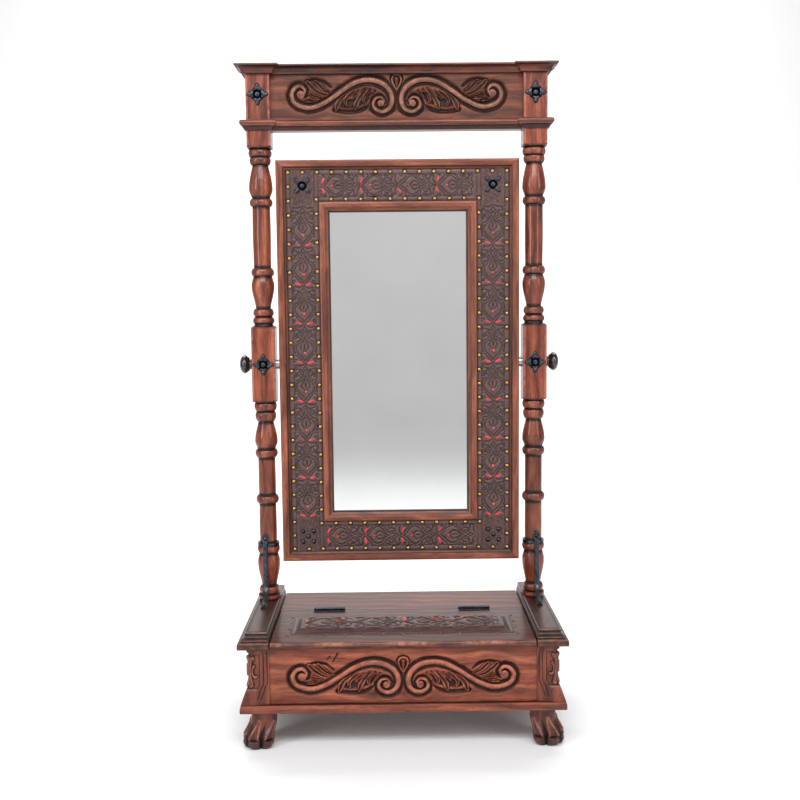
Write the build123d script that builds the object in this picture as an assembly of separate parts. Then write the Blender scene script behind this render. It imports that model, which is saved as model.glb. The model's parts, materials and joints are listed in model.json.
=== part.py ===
"""Cheval floor mirror in carved pine: a hinged-lid chest on paw feet, two turned posts, a carved
header and a leather-bordered mirror that tilts between the posts.

Units are millimetres. +X is the object's right as a person faces the glass, +Y points from the
glass to the back, +Z is up. The origin is on the floor, at the middle of the object's footprint.
"""
from build123d import *
import os
from math import hypot

os.makedirs("parts", exist_ok=True)

# ------------------------------------------------------------------ driving dimensions
TOTAL_HEIGHT = 1900.0
POST_Y = 102.5            # post axis behind the middle of the footprint
POST_X = 400.0            # post axis from the middle of the object
SQUARE = 70.0             # width of the square blocks that are left on the turned posts

# chest
FOOT_HEIGHT = 105.0
CARCASS_TOP = 284.0       # top of the chest walls, underside of the lid
LID_THICKNESS = 19.0
LEDGE_THICKNESS = 20.0
CAP_THICKNESS = 26.0
CHEST_FRONT = -245.5      # front edge of the lid and of the side ledges
CHEST_BACK = 245.5
LEDGE_OUTER = 451.0
LEDGE_INNER = 363.5
CAP_OUTER = 442.0
CAP_INNER = 366.0
CAP_SETBACK = 6.0         # cap's front edge behind the ledge's front edge
CAP_SLOPE = 12.0          # how far the cap draws in between its foot and its top
CAP_FOOT_HEIGHT = 6.0
CAP_TOP_HEIGHT = 6.0
CORNER_FRONT = -231.5     # front face of the corner blocks
CORNER_OUTER = 427.0
CORNER_WIDTH = 61.0
CORNER_FLARE = 18.0       # how far the foot of a corner block flares outward
FLARE_HEIGHT = 50.0
WALL = 22.0
FRONT_WALL = 28.0
SIDE_OUTER = 425.0
FRONT_FACE = -227.5
MOULDING_HEIGHT = 23.0
MOULDING_OUTER = 447.0
MOULDING_DEPTH = 40.0
MOULDING_NOSE = 4.0       # rounding under the base moulding
MOULDING_NOSE_TOP = 8.0   # rounding over it
MOULDING_SHOULDER = 3.0
BACK_INSET = 3.0          # back corner blocks in front of the chest's back edge
BACK_BOARD_INSET = 4.0    # back board in front of the back corner blocks
CORNER_FRONT_FLARE = 10.0 # how far the foot of a corner block flares forward
FLOOR_BOARD = 12.0

# lid and hinges
LID_CLEARANCE = 2.0       # gap between the lid's end and the side ledge
SEAM = 2.0                # gap between the lid's back edge and the fixed deck
HINGE_Y = 55.5
HINGE_X = 216.0
HINGE_LENGTH = 93.0
LEAF_DEPTH = 20.0
LEAF_THICKNESS = 2.0
BARREL_RADIUS = 4.2
BARREL_LIFT = 4.5         # hinge axis above the lid's top face
PIN_RADIUS = 2.4
RUNNING_CLEARANCE = 0.05
KNUCKLE_GAP = 0.5
PAD_LENGTH = 624.0
PAD_DEPTH = 152.0
PAD_Y = -97.5
PAD_HEIGHT = 12.0
PAD_BASE_ROUNDING = 6.0
PAD_EDGE_SHARE = 0.35     # share of the pad's height that its steep edge takes
PAD_EDGE_INSET = 6.0
PAD_EDGE_ROUNDING = 8.0
PAD_TOP_INSETS = (56.0, 46.0)
PAD_TOP_ROUNDING = 20.0
LID_TACK_RADIUS = 4.0
LID_TACK_RISE = 2.2
LID_NOSE_FLAT = 1.0       # flat left in the middle of the lid's rounded nose
SUPPORT_FRONT = 16.0      # support rail in front of the hinge line
SUPPORT_REAR = 26.0       # and behind it
LEAF_CLEARANCE = 1.3      # gap between a leaf and the other leaf's knuckles

# header
HEADER_TOP = 1874.0
HEADER_BOTTOM = 1716.0
HEADER_FRONT = -20.0      # board's front face from the post axis
HEADER_BACK = 14.0
CORNICE_REACH = 28.0      # cornice beyond the faces of the post blocks
BEAD_HEIGHT = 30.0
BEAD_REACH = 17.0
BEAD_NOSE_SHARE = 0.42    # height at which the bead turns under
BEAD_FLAT = 4.0           # rounding of the bead's top edge
BEAD_NOSE_DROP = 7.0
BEAD_TURN = 3.0
BEAD_HOLLOW = (6.0, 6.0)
BEAD_ROOT = 4.0
CORNICE_STEPS = 5
CORNICE_FILLET = 4.0      # flat upper edge of the cornice
CORNICE_START = 3.0       # reach of the cornice at its underside
CORNICE_BACK = 5.0        # cornice behind the post blocks
SHOULDER_HEIGHT = 9.0     # rounding at the ends of a post's square blocks
SHOULDER_INSET = 17.0
TOP_BLOCK_BOTTOM = 1666.0

# mirror panel
PIVOT_Z = 1040.5
MIRROR_HALF_WIDTH = 355.0
MIRROR_HALF_HEIGHT = 594.0
FRAME_WIDTH = 29.0
FRAME_FRONT = -22.0       # from the post axis
FRAME_BACK = 14.0
INNER_HALF_WIDTH = 231.0
INNER_HALF_HEIGHT = 474.0
INNER_WIDTH = 26.0
INNER_FRONT = -20.0
LEATHER_FRONT = -13.0
BACKER_FRONT = -3.0
GLASS_THICKNESS = 4.0
GLASS_REBATE = 5.0
PANEL_FRONT = 4.0
PANEL_THICKNESS = 6.0
PANEL_REBATE = 8.0
TACK_RADIUS = 5.5
TACK_PITCH = 42.0
TACK_RISE = 3.0
FRAME_EDGE = 3.0          # easing of the outer stick's front edge
FRAME_FLAT = 19.0         # from the outer edge to the end of the flat band
SLOPE_DROP = 1.0          # inner lip of the stick in front of the leather
INNER_EDGE = (4.0, 5.0)   # easing of the inner stick: depth, width
INNER_FLAT = 15.0
INNER_SLOPE = 7.0
GLASS_GAP = 1.0
PANEL_GAP = 1.0

# pivots and knobs
BLOCK_TOP = 1154.0
BLOCK_BOTTOM = 927.0
BOLT_RADIUS = 5.0
INSERT_RADIUS = 8.0
INSERT_DEPTH = 20.0
WASHER_RADIUS = 15.0
KNOB_RADIUS = 28.0
KNOB_TIP = 473.0
ROSETTE_REACH = 32.0
ROSETTE_THICKNESS = 3.0
HEADER_ROSETTE_Z = 1818.0
PETAL_WAIST = (0.236, 0.285)   # petal outline, as shares of the rosette's reach
PETAL_SHOULDER = (0.27, 0.62)
ROSETTE_HUB = 0.3
ROSETTE_NAIL = (6.5, 3.2)      # radius and rise
NAIL_SINK = 0.2
KNOB_FOOT = 19.0
KNOB_NECK = 15.5
KNOB_NECK_HEIGHT = 6.0
KNOB_WIDEST = 21.0        # widest ring of a knob from its foot
KNOB_SLOPE = (0.9, 0.45)
BOLT_IN_KNOB = 20.0

# iron braces
BRACE_X = 406.0
BRACE_WIDTH = 15.0
BRACE_THICKNESS = 7.0
BRACE_TOP = 529.0
BRACE_BEND = 372.0
BRACE_FOOT_Y = -104.0     # foot screw, in front of the post axis
BRACE_STRAP_Y = -36.0     # back of the upright strap
BRACE_TAB_Y = -26.6       # back of the tab on the post
BRACE_TAB_HEIGHT = 17.0
BRACE_SHOULDER = 34.0     # from the top to where the strap turns upright
BRACE_TAB_RADIUS = 10.5
BRACE_BOLT_DROP = 9.0     # tab's bolt below the top
BRACE_TOE = (12.0, 11.0)  # toe behind and in front of the foot screw
BRACE_LEAN = 2.0
BRACE_EASING = (3.0, 6.0, 2.0) # offsets that keep the strap's thickness at its bends
BRACE_BOLT = (6.0, 4.0)   # radius and rise
COLLAR_GAP = 1.0

# ------------------------------------------------------------------ derived places
LID_TOP = CARCASS_TOP + LID_THICKNESS
LEDGE_TOP = CARCASS_TOP + LEDGE_THICKNESS
CAP_TOP = LEDGE_TOP + CAP_THICKNESS
MOULDING_TOP = FOOT_HEIGHT + MOULDING_HEIGHT
HINGE_Z = LID_TOP + BARREL_LIFT
SIDES = (("left", -1), ("right", 1))
DOME_TRIM = 1.2
TOUCH = 0.01              # closer than this, two points are one
BEYOND = 200.0            # reach of cutting shapes past the part they cut


def box(x0, x1, y0, y1, z0, z1):
    """Box between two opposite corners."""
    low = (min(x0, x1), min(y0, y1), min(z0, z1))
    size = (abs(x1 - x0), abs(y1 - y0), abs(z1 - z0))
    return Pos(*low) * Box(*size, align=(Align.MIN, Align.MIN, Align.MIN))


def rod_x(x0, x1, y, z, radius):
    """Round bar along X."""
    middle = Pos((x0 + x1) / 2, y, z) * Rot(0, 90, 0)
    return middle * Cylinder(radius, abs(x1 - x0))


def rod_y(x, y0, y1, z, radius):
    """Round bar along Y."""
    middle = Pos(x, (y0 + y1) / 2, z) * Rot(90, 0, 0)
    return middle * Cylinder(radius, abs(y1 - y0))


def dome(radius, rise):
    """Domed nail head: a spherical cap on the XY plane that rises along +Z."""
    ball = (radius ** 2 + rise ** 2) / (2 * rise)
    cap = Pos(0, 0, rise - ball) * Sphere(ball)
    return cap & Pos(0, 0, rise / 2) * Cylinder(radius * DOME_TRIM, rise)


def front_facing(shape):
    """Turn a shape that rises along +Z so that it rises towards the front, -Y."""
    return Rot(90, 0, 0) * shape


def save(shape, name):
    export_step(shape, "parts/" + name + ".step")


def save_group(shapes, name):
    save(Compound(children=list(shapes)), name)


# ------------------------------------------------------------------ turned posts
# Each cut of the lathe is (kind, height, greatest radius, root radius below, root radius above).
# A bead is a round swelling, a neck is straight, a vase swells near one end and tapers to the other.
LOWER_TURNING = (
    ("bead", 16, 34.0, 31.0, 31.0),
    ("bead", 25, 30.5, 24.0, 23.0),
    ("vase", 100, 33.4, 22.5, 27.5),
    ("bead", 24, 33.6, 27.5, 29.0),
    ("neck", 9, 29.0, 29.0, 29.0),
    ("neck", 118, 26.0, 25.4, 25.4),
    ("bead", 27, 34.0, 25.4, 25.4),
    ("neck", 112, 25.8, 25.4, 25.4),
    ("bead", 26, 33.5, 25.4, 26.8),
    ("vase", 82, 33.6, 26.8, 22.8),
    ("bead", 31, 31.0, 22.8, 25.8),
    ("bead", 27, 33.3, 25.8, 28.5),
)
UPPER_TURNING = (
    ("neck", 7, 27.5, 28.5, 27.5),
    ("bead", 20, 31.7, 27.5, 24.0),
    ("bead", 24, 30.2, 24.0, 23.0),
    ("vase", 94, 33.6, 22.0, 27.0),
    ("bead", 25, 33.5, 27.0, 25.4),
    ("neck", 177, 26.6, 25.4, 26.0),
    ("bead", 24, 33.6, 26.0, 26.4),
    ("vase", 96, 34.3, 26.4, 23.2),
    ("bead", 22, 30.9, 25.0, 27.5),
    ("bead", 23, 34.0, 27.5, 28.5),
)
BELLY_NEAR_TOP = 0.72     # height of a vase's widest ring, as a share of the vase
BELLY_NEAR_BOTTOM = 0.28
VASE_SLOPE = 0.4          # sideways run of a vase where it leaves its neck


def turning_edges(base, cuts):
    """Outline in the XZ plane of a run of lathe cuts, from base upwards."""
    edges = []
    z = base
    here = (cuts[0][3], z)
    for kind, height, widest, below, above in cuts:
        start = (below, z)
        end = (above, z + height)
        if hypot(start[0] - here[0], start[1] - here[1]) > TOUCH:
            edges.append(Line(here, start))
        if kind == "bead":
            edges.append(ThreePointArc(start, (widest, z + height / 2), end))
        elif kind == "neck":
            edges.append(ThreePointArc(start, (widest, z + height / 2 + TOUCH), end)
                         if widest not in (below, above) else Line(start, end))
        else:
            share = BELLY_NEAR_TOP if above > below else BELLY_NEAR_BOTTOM
            belly = (widest, z + height * share)
            edges.append(Spline(start, belly, tangents=[(VASE_SLOPE, 1), (0, 1)]))
            edges.append(Spline(belly, end, tangents=[(0, 1), (-VASE_SLOPE, 1)]))
        here = end
        z += height
    return edges, here


def turned(base, cuts):
    """Solid of revolution about Z for one run of lathe cuts."""
    edges, top = turning_edges(base, cuts)
    foot = (cuts[0][3], base)
    close = [Line(top, (0, top[1])), Line((0, top[1]), (0, base)), Line((0, base), foot)]
    with BuildSketch(Plane.XZ) as sketch:
        with BuildLine():
            for edge in edges + close:
                add(edge)
        make_face()
    return revolve(sketch.sketch, Axis.Z, 360)


def square_block(bottom, top, round_bottom=True, round_top=True):
    """Square length of a post whose ends were rounded over on the lathe."""
    block = box(-SQUARE / 2, SQUARE / 2, -SQUARE / 2, SQUARE / 2, bottom, top)
    corner = SQUARE / 2 * 2 ** 0.5 + 1
    shoulder = SHOULDER_HEIGHT
    inset = SHOULDER_INSET
    low = bottom + (shoulder if round_bottom else 0)
    high = top - (shoulder if round_top else 0)
    lathe = Pos(0, 0, (low + high) / 2) * Cylinder(corner, high - low)
    if round_bottom:
        lathe += Pos(0, 0, bottom + shoulder / 2) * Cone(corner - inset, corner, shoulder)
    if round_top:
        lathe += Pos(0, 0, top - shoulder / 2) * Cone(corner, corner - inset, shoulder)
    return block & lathe


def post(side):
    """One post: lower turning, pivot block, upper turning and the header block."""
    shape = turned(CAP_TOP, LOWER_TURNING) + square_block(BLOCK_BOTTOM, BLOCK_TOP)
    shape += turned(BLOCK_TOP, UPPER_TURNING)
    shape += square_block(TOP_BLOCK_BOTTOM, HEADER_TOP, round_top=False)
    shape -= rod_x(-SQUARE, SQUARE, 0, PIVOT_Z, BOLT_RADIUS + RUNNING_CLEARANCE)
    return Pos(side * POST_X, POST_Y, 0) * shape


for side_name, side in SIDES:
    save(post(side), side_name + "_post")

# ------------------------------------------------------------------ header
BLOCK_INNER = POST_X - SQUARE / 2
BLOCK_OUTER = POST_X + SQUARE / 2
BLOCK_FRONT = POST_Y - SQUARE / 2
BLOCK_BACK = POST_Y + SQUARE / 2
BOARD_FRONT = POST_Y + HEADER_FRONT
BOARD_BACK = POST_Y + HEADER_BACK


def break_front_plan(reach_out, reach_front, back):
    """Plan of a moulding that steps forward round the two post blocks."""
    outer = BLOCK_OUTER + reach_out
    inner = BLOCK_INNER - reach_out
    block_face = BLOCK_FRONT - reach_front
    board_face = BOARD_FRONT - reach_front
    points = [(-outer, block_face), (-inner, block_face), (-inner, board_face), (inner, board_face),
              (inner, block_face), (outer, block_face), (outer, back), (-outer, back)]
    return make_face(Polyline(*points, close=True))


def cornice():
    """Crown board: a quarter-round under edge that breaks forward over the blocks."""
    layers = CORNICE_STEPS
    fillet_height = TOTAL_HEIGHT - HEADER_TOP - CORNICE_FILLET
    shape = None
    for index in range(layers):
        share = (index + 1) / layers
        reach = CORNICE_START + (CORNICE_REACH - CORNICE_START) * (1 - (1 - share) ** 2) ** 0.5
        z = HEADER_TOP + fillet_height * index / layers
        height = fillet_height / layers if index < layers - 1 else TOTAL_HEIGHT - z
        plan = break_front_plan(reach, reach, BLOCK_BACK + CORNICE_BACK)
        layer = Pos(0, 0, z) * extrude(plan, height)
        shape = layer if shape is None else shape + layer
    return shape


save(cornice(), "header_cornice")
save(box(-BLOCK_INNER, BLOCK_INNER, BOARD_FRONT, BOARD_BACK, HEADER_BOTTOM, HEADER_TOP), "header_board")


def bead_profile(bottom):
    """Thumbnail section in the YZ plane: flat top, round nose, hollowed underside. Face at y = 0."""
    top = bottom + BEAD_HEIGHT
    nose = bottom + BEAD_HEIGHT * BEAD_NOSE_SHARE
    edge = (-BEAD_REACH + BEAD_FLAT, top)
    turn = (-BEAD_REACH + BEAD_TURN, nose)
    root = (-BEAD_ROOT, bottom)
    with BuildLine() as line:
        Polyline((0, bottom), (0, top), edge)
        ThreePointArc(edge, (-BEAD_REACH, top - BEAD_NOSE_DROP), turn)
        ThreePointArc(turn, (-BEAD_HOLLOW[0], bottom + BEAD_HOLLOW[1]), root)
        Line(root, (0, bottom))
    return line.line


def bead_strip(x0, x1, face_y, bottom):
    """Straight length of the bead along X on a face that looks to the front."""
    face = make_face(Plane.YZ * bead_profile(bottom))
    return Pos(x0, face_y, 0) * extrude(face, x1 - x0, dir=(1, 0, 0))


def bead_collar(side):
    """Bead that wraps the front, the outer side and the inner return of a post block."""
    reach = BEAD_REACH
    front = bead_strip(BLOCK_INNER - reach, BLOCK_OUTER + reach, BLOCK_FRONT, HEADER_BOTTOM)
    turned_strip = bead_strip(0, SQUARE + 2 * reach, 0, HEADER_BOTTOM)
    outer = Pos(BLOCK_OUTER, BLOCK_FRONT - reach, 0) * (Rot(0, 0, 90) * turned_strip)
    inner = Pos(BLOCK_INNER, BLOCK_BACK + reach, 0) * (Rot(0, 0, -90) * turned_strip)
    corner = BLOCK_OUTER + reach
    reach_box = box(BLOCK_INNER - reach, corner, BLOCK_FRONT - reach, BLOCK_BACK, 0, TOTAL_HEIGHT)
    front_wedge = extrude(make_face(Polyline(
        (BLOCK_INNER - reach, BLOCK_FRONT - reach), (corner, BLOCK_FRONT - reach),
        (BLOCK_OUTER, BLOCK_FRONT), (BLOCK_INNER, BLOCK_FRONT), close=True)), TOTAL_HEIGHT)
    ring = (front & front_wedge) + ((outer - front_wedge) & reach_box)
    stub = box(BLOCK_INNER - reach, BLOCK_INNER, BLOCK_FRONT - reach, BOARD_FRONT, 0, TOTAL_HEIGHT)
    ring += (inner - front_wedge) & stub
    ring -= box(BLOCK_INNER, BLOCK_OUTER, BLOCK_FRONT, BLOCK_BACK + reach, 0, TOTAL_HEIGHT)
    return ring if side > 0 else mirror(ring, Plane.YZ)


save_group([bead_collar(side) for name, side in SIDES], "header_block_beads")
bead_end = BLOCK_INNER - BEAD_REACH
save(bead_strip(-bead_end, bead_end, BOARD_FRONT, HEADER_BOTTOM), "header_front_bead")


def rosette():
    """Four-petal iron clavos with a domed nail at its centre, rising along +Z."""
    reach = ROSETTE_REACH
    waist = [reach * share for share in PETAL_WAIST]
    shoulder = [reach * share for share in PETAL_SHOULDER]
    shape = None
    for quarter in range(4):
        points = [(0, 0), (waist[0], waist[1]), (shoulder[0], shoulder[1]), (0, reach),
                  (-shoulder[0], shoulder[1]), (-waist[0], waist[1])]
        petal = Rot(0, 0, 90 * quarter) * extrude(make_face(Polyline(*points, close=True)),
                                                  ROSETTE_THICKNESS)
        shape = petal if shape is None else shape + petal
    shape += Pos(0, 0, ROSETTE_THICKNESS / 2) * Cylinder(reach * ROSETTE_HUB, ROSETTE_THICKNESS)
    return shape + Pos(0, 0, ROSETTE_THICKNESS - NAIL_SINK) * dome(*ROSETTE_NAIL)


rosettes = [Pos(side * POST_X, BLOCK_FRONT, z) * front_facing(rosette())
            for z in (HEADER_ROSETTE_Z, PIVOT_Z) for name, side in SIDES]
save_group(rosettes, "post_rosettes")

# ------------------------------------------------------------------ chest carcass
CORNER_INNER = CORNER_OUTER - CORNER_WIDTH
CORNER_BACK = CHEST_BACK - BACK_INSET


def corner_block(side, front):
    """Corner post of the chest with a flared foot on its two outer faces."""
    outer = CORNER_OUTER
    high = box(CORNER_INNER, outer, 0, CORNER_WIDTH, MOULDING_TOP, CARCASS_TOP)
    flare = CORNER_FLARE
    plan_low = Rectangle(CORNER_WIDTH + flare, CORNER_WIDTH + flare, align=(Align.MIN, Align.MAX))
    plan_high = Rectangle(CORNER_WIDTH, CORNER_WIDTH, align=(Align.MIN, Align.MAX))
    foot = loft([Pos(0, 0, MOULDING_TOP) * plan_low, Pos(0, 0, MOULDING_TOP + FLARE_HEIGHT) * plan_high])
    shape = high + Pos(CORNER_INNER, CORNER_WIDTH, 0) * foot
    if front:
        shape = Pos(0, CORNER_FRONT, 0) * shape
        front_limit = CORNER_FRONT - CORNER_FRONT_FLARE
        shape -= box(0, SIDE_OUTER * 2, CORNER_FRONT - flare, front_limit, 0, TOTAL_HEIGHT)
    else:
        shape = mirror(shape, Plane.XZ)
        shape = Pos(0, CORNER_BACK, 0) * shape
        shape -= box(0, SIDE_OUTER * 2, CORNER_BACK, CORNER_BACK + 2 * flare, 0, TOTAL_HEIGHT)
    return shape if side > 0 else mirror(shape, Plane.YZ)


for side_name, side in SIDES:
    save(corner_block(side, True), "front_" + side_name + "_corner_block")
    save(corner_block(side, False), "back_" + side_name + "_corner_block")

front_board = box(-CORNER_INNER, CORNER_INNER, FRONT_FACE, FRONT_FACE + FRONT_WALL,
                  MOULDING_TOP, CARCASS_TOP)
save(front_board, "chest_front_board")
back_outer = CORNER_BACK - BACK_BOARD_INSET
back_board = box(-CORNER_INNER, CORNER_INNER, back_outer - WALL, back_outer, FOOT_HEIGHT, CARCASS_TOP)
save(back_board, "chest_back_board")
side_y = (CORNER_FRONT + CORNER_WIDTH, CORNER_BACK - CORNER_WIDTH)
for side_name, side in SIDES:
    board = box(side * (SIDE_OUTER - WALL), side * SIDE_OUTER, *side_y, MOULDING_TOP, CARCASS_TOP)
    save(board, "chest_" + side_name + "_side")
floor_y = (FRONT_FACE + FRONT_WALL, back_outer - WALL)
bottom_board = box(-CORNER_INNER, CORNER_INNER, *floor_y, MOULDING_TOP, MOULDING_TOP + FLOOR_BOARD)
save(bottom_board, "chest_bottom_board")


def moulding_bar(length):
    """Base moulding along X, from x = 0, with its rounded nose on y = 0 and its foot on z = 0."""
    height = MOULDING_HEIGHT
    depth = MOULDING_DEPTH
    nose = MOULDING_NOSE
    brow = height - MOULDING_NOSE_TOP
    quarter = nose * (1 - 0.5 ** 0.5)
    with BuildLine() as line:
        Polyline((nose, 0), (depth, 0), (depth, height), (nose, height))
        ThreePointArc((nose, height), (quarter, height - MOULDING_SHOULDER), (0, brow))
        Line((0, brow), (0, nose))
        ThreePointArc((0, nose), (quarter, quarter), (nose, 0))
    return extrude(make_face(Plane.YZ * line.line), length, dir=(1, 0, 0))


MOULDING_SETBACK = 1.0
MOULDING_FRONT = CHEST_FRONT + MOULDING_SETBACK
moulding_length = 2 * MOULDING_OUTER
mitre = extrude(make_face(Polyline((-MOULDING_OUTER, 0), (MOULDING_OUTER, 0),
                                   (MOULDING_OUTER - BEYOND, BEYOND), (-MOULDING_OUTER + BEYOND, BEYOND),
                                   close=True)), TOTAL_HEIGHT)
front_bar = (Pos(-MOULDING_OUTER, 0, 0) * moulding_bar(moulding_length)) & mitre
place = Pos(0, MOULDING_FRONT, FOOT_HEIGHT)
save(place * front_bar, "base_moulding_front")
side_run = CORNER_BACK - MOULDING_FRONT
side_bar = Pos(MOULDING_OUTER, 0, 0) * (Rot(0, 0, 90) * moulding_bar(side_run)) - mitre
save_group([place * side_bar, place * mirror(side_bar, Plane.YZ)], "base_moulding_sides")

# Paw feet: (height, diagonal shift outward, width) of the sections, from the top down.
FOOT_SECTIONS = ((FOOT_HEIGHT, 0, 68), (66, 3, 70), (36, 15, 87), (14, 16, 82), (0, 16, 64))
FOOT_ROUNDING = 0.28
FOOT_INSET = 61.0         # foot's top middle from the outer faces of the base moulding


def paw_foot(side, front):
    """Leg that spreads into a paw, pushed out along the corner's diagonal."""
    sections = []
    for z, shift, width in FOOT_SECTIONS:
        toward = -1 if front else 1
        sketch = RectangleRounded(width, width, width * FOOT_ROUNDING)
        sections.append(Pos(side * shift, toward * shift, z) * sketch)
    shape = loft(sections, ruled=True)
    y = MOULDING_FRONT + FOOT_INSET if front else CHEST_BACK - FOOT_INSET
    return Pos(side * (MOULDING_OUTER - FOOT_INSET), y, 0) * shape


for side_name, side in SIDES:
    save(paw_foot(side, True), "front_" + side_name + "_foot")
    save(paw_foot(side, False), "back_" + side_name + "_foot")

# ------------------------------------------------------------------ side rails and deck
def rail_cap(side):
    """Cap of a side rail: it draws in from a square foot to a narrower top, outside and in front."""
    foot_z = LEDGE_TOP + CAP_FOOT_HEIGHT
    top_z = CAP_TOP - CAP_TOP_HEIGHT
    front = CHEST_FRONT + CAP_SETBACK
    outside = [(CAP_INNER, LEDGE_TOP), (CAP_OUTER, LEDGE_TOP), (CAP_OUTER, foot_z),
               (CAP_OUTER - CAP_SLOPE, top_z), (CAP_OUTER - CAP_SLOPE, CAP_TOP), (CAP_INNER, CAP_TOP)]
    ahead = [(CHEST_BACK, LEDGE_TOP), (front, LEDGE_TOP), (front, foot_z),
             (front + CAP_SLOPE, top_z), (front + CAP_SLOPE, CAP_TOP), (CHEST_BACK, CAP_TOP)]
    across = extrude(make_face(Plane.XZ * Polyline(*outside, close=True)), TOTAL_HEIGHT, both=True)
    along = extrude(make_face(Plane.YZ * Polyline(*ahead, close=True)), TOTAL_HEIGHT, both=True)
    cap = across & along
    return cap if side > 0 else mirror(cap, Plane.YZ)


for side_name, side in SIDES:
    ledge = box(side * LEDGE_INNER, side * LEDGE_OUTER, CHEST_FRONT, CHEST_BACK, CARCASS_TOP, LEDGE_TOP)
    save(ledge, side_name + "_rail_ledge")
    save(rail_cap(side), side_name + "_rail_cap")

deck = box(-LEDGE_INNER, LEDGE_INNER, HINGE_Y + SEAM / 2, CHEST_BACK, CARCASS_TOP, LID_TOP)
save(deck, "deck_board")
SUPPORT_HEIGHT = 22.0
SUPPORT_DROP = 0.5        # below the lid, so that its back edge can turn
support_span = SIDE_OUTER - WALL
support = box(-support_span, support_span, HINGE_Y - SUPPORT_FRONT, HINGE_Y + SUPPORT_REAR,
              CARCASS_TOP - SUPPORT_HEIGHT, CARCASS_TOP - SUPPORT_DROP)
save(support, "deck_support_rail")

# ------------------------------------------------------------------ hinges
KNUCKLE = HINGE_LENGTH / 3


def leaf(sign, spans):
    """Hinge leaf with its knuckles. sign is +1 for the deck side, -1 for the lid side."""
    clear = BARREL_RADIUS + LEAF_CLEARANCE
    plate = box(-HINGE_LENGTH / 2, HINGE_LENGTH / 2, sign * clear, sign * LEAF_DEPTH,
                -BARREL_LIFT, -BARREL_LIFT + LEAF_THICKNESS)
    for x0, x1 in spans:
        plate += box(x0, x1, 0, sign * clear, -BARREL_LIFT, -BARREL_LIFT + LEAF_THICKNESS)
        plate += rod_x(x0, x1, 0, 0, BARREL_RADIUS)
        plate -= rod_x(x0 - 1, x1 + 1, 0, 0, PIN_RADIUS + RUNNING_CLEARANCE)
    return plate


half = HINGE_LENGTH / 2
outer_spans = [(-half, -KNUCKLE / 2 - KNUCKLE_GAP), (KNUCKLE / 2 + KNUCKLE_GAP, half)]
middle_span = [(-KNUCKLE / 2, KNUCKLE / 2)]
hinge_places = [Pos(side * HINGE_X, HINGE_Y, HINGE_Z) for name, side in SIDES]
save_group([place * leaf(1, outer_spans) for place in hinge_places], "hinge_fixed_leaves")
save_group([place * leaf(-1, middle_span) for place in hinge_places], "hinge_moving_leaves")
save_group([place * rod_x(-half, half, 0, 0, PIN_RADIUS) for place in hinge_places], "hinge_pins")

# ------------------------------------------------------------------ lid
lid_half = LEDGE_INNER - LID_CLEARANCE
lid = box(-lid_half, lid_half, CHEST_FRONT, HINGE_Y - SEAM / 2, CARCASS_TOP, LID_TOP)
nose_edges = lid.edges().filter_by(Axis.X).group_by(Axis.Y)[0]
lid = fillet(nose_edges, LID_THICKNESS / 2 - LID_NOSE_FLAT)
save(lid, "lid_board")

pad_base = RectangleRounded(PAD_LENGTH, PAD_DEPTH, PAD_BASE_ROUNDING)
pad_edge = RectangleRounded(PAD_LENGTH - PAD_EDGE_INSET, PAD_DEPTH - PAD_EDGE_INSET, PAD_EDGE_ROUNDING)
pad_top = RectangleRounded(PAD_LENGTH - PAD_TOP_INSETS[0], PAD_DEPTH - PAD_TOP_INSETS[1], PAD_TOP_ROUNDING)
pad_levels = [pad_base, Pos(0, 0, PAD_HEIGHT * PAD_EDGE_SHARE) * pad_edge, Pos(0, 0, PAD_HEIGHT) * pad_top]
pad = loft(pad_levels, ruled=True)
save(Pos(0, PAD_Y, LID_TOP) * pad, "lid_leather_pad")

LID_TACK_MARGIN = 7.0
LID_TACK_PITCH = 52.0


def row(start, end, pitch):
    """Evenly spaced places from start to end, both included."""
    count = max(1, round(abs(end - start) / pitch))
    return [start + (end - start) * index / count for index in range(count + 1)]


tack_x = PAD_LENGTH / 2 + LID_TACK_MARGIN
tack_y = PAD_DEPTH / 2 + LID_TACK_MARGIN
tack_places = [(x, y) for y in (-tack_y, tack_y) for x in row(-tack_x, tack_x, LID_TACK_PITCH)]
tack_places += [(x, y) for x in (-tack_x, tack_x) for y in row(-tack_y, tack_y, LID_TACK_PITCH)[1:-1]]
lid_tack = dome(LID_TACK_RADIUS, LID_TACK_RISE)
save_group([Pos(x, y + PAD_Y, LID_TOP) * lid_tack for x, y in tack_places], "lid_tacks")

# ------------------------------------------------------------------ mirror panel
MIRROR = Pos(0, POST_Y, PIVOT_Z)


def mitred_bars(half_width, half_height, width, section):
    """Four mitred sticks round a frame. section(length) runs along X, with its outer edge on z = 0
    and its inner edge on z = width, and is cut at 45 degrees at both ends."""
    bars = {}
    spans = {"bottom": (half_width, half_height, 0), "right": (half_height, half_width, -90),
             "top": (half_width, half_height, 180), "left": (half_height, half_width, 90)}
    for name, (half_run, reach, turn) in spans.items():
        bar = Pos(-half_run, 0, 0) * section(2 * half_run)
        wedge = extrude(make_face(Plane.XZ * Polyline(
            (-half_run, 0), (half_run, 0), (half_run - width, width), (-half_run + width, width),
            close=True)), BEYOND, both=True)
        bars[name] = MIRROR * (Rot(0, turn, 0) * (Pos(0, 0, -reach) * (bar & wedge)))
    return bars


def bar_from_outline(points):
    """Extrusion along X of an outline in the YZ plane."""
    def section(length):
        return extrude(make_face(Plane.YZ * Polyline(*points, close=True)), length, dir=(1, 0, 0))
    return section


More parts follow.
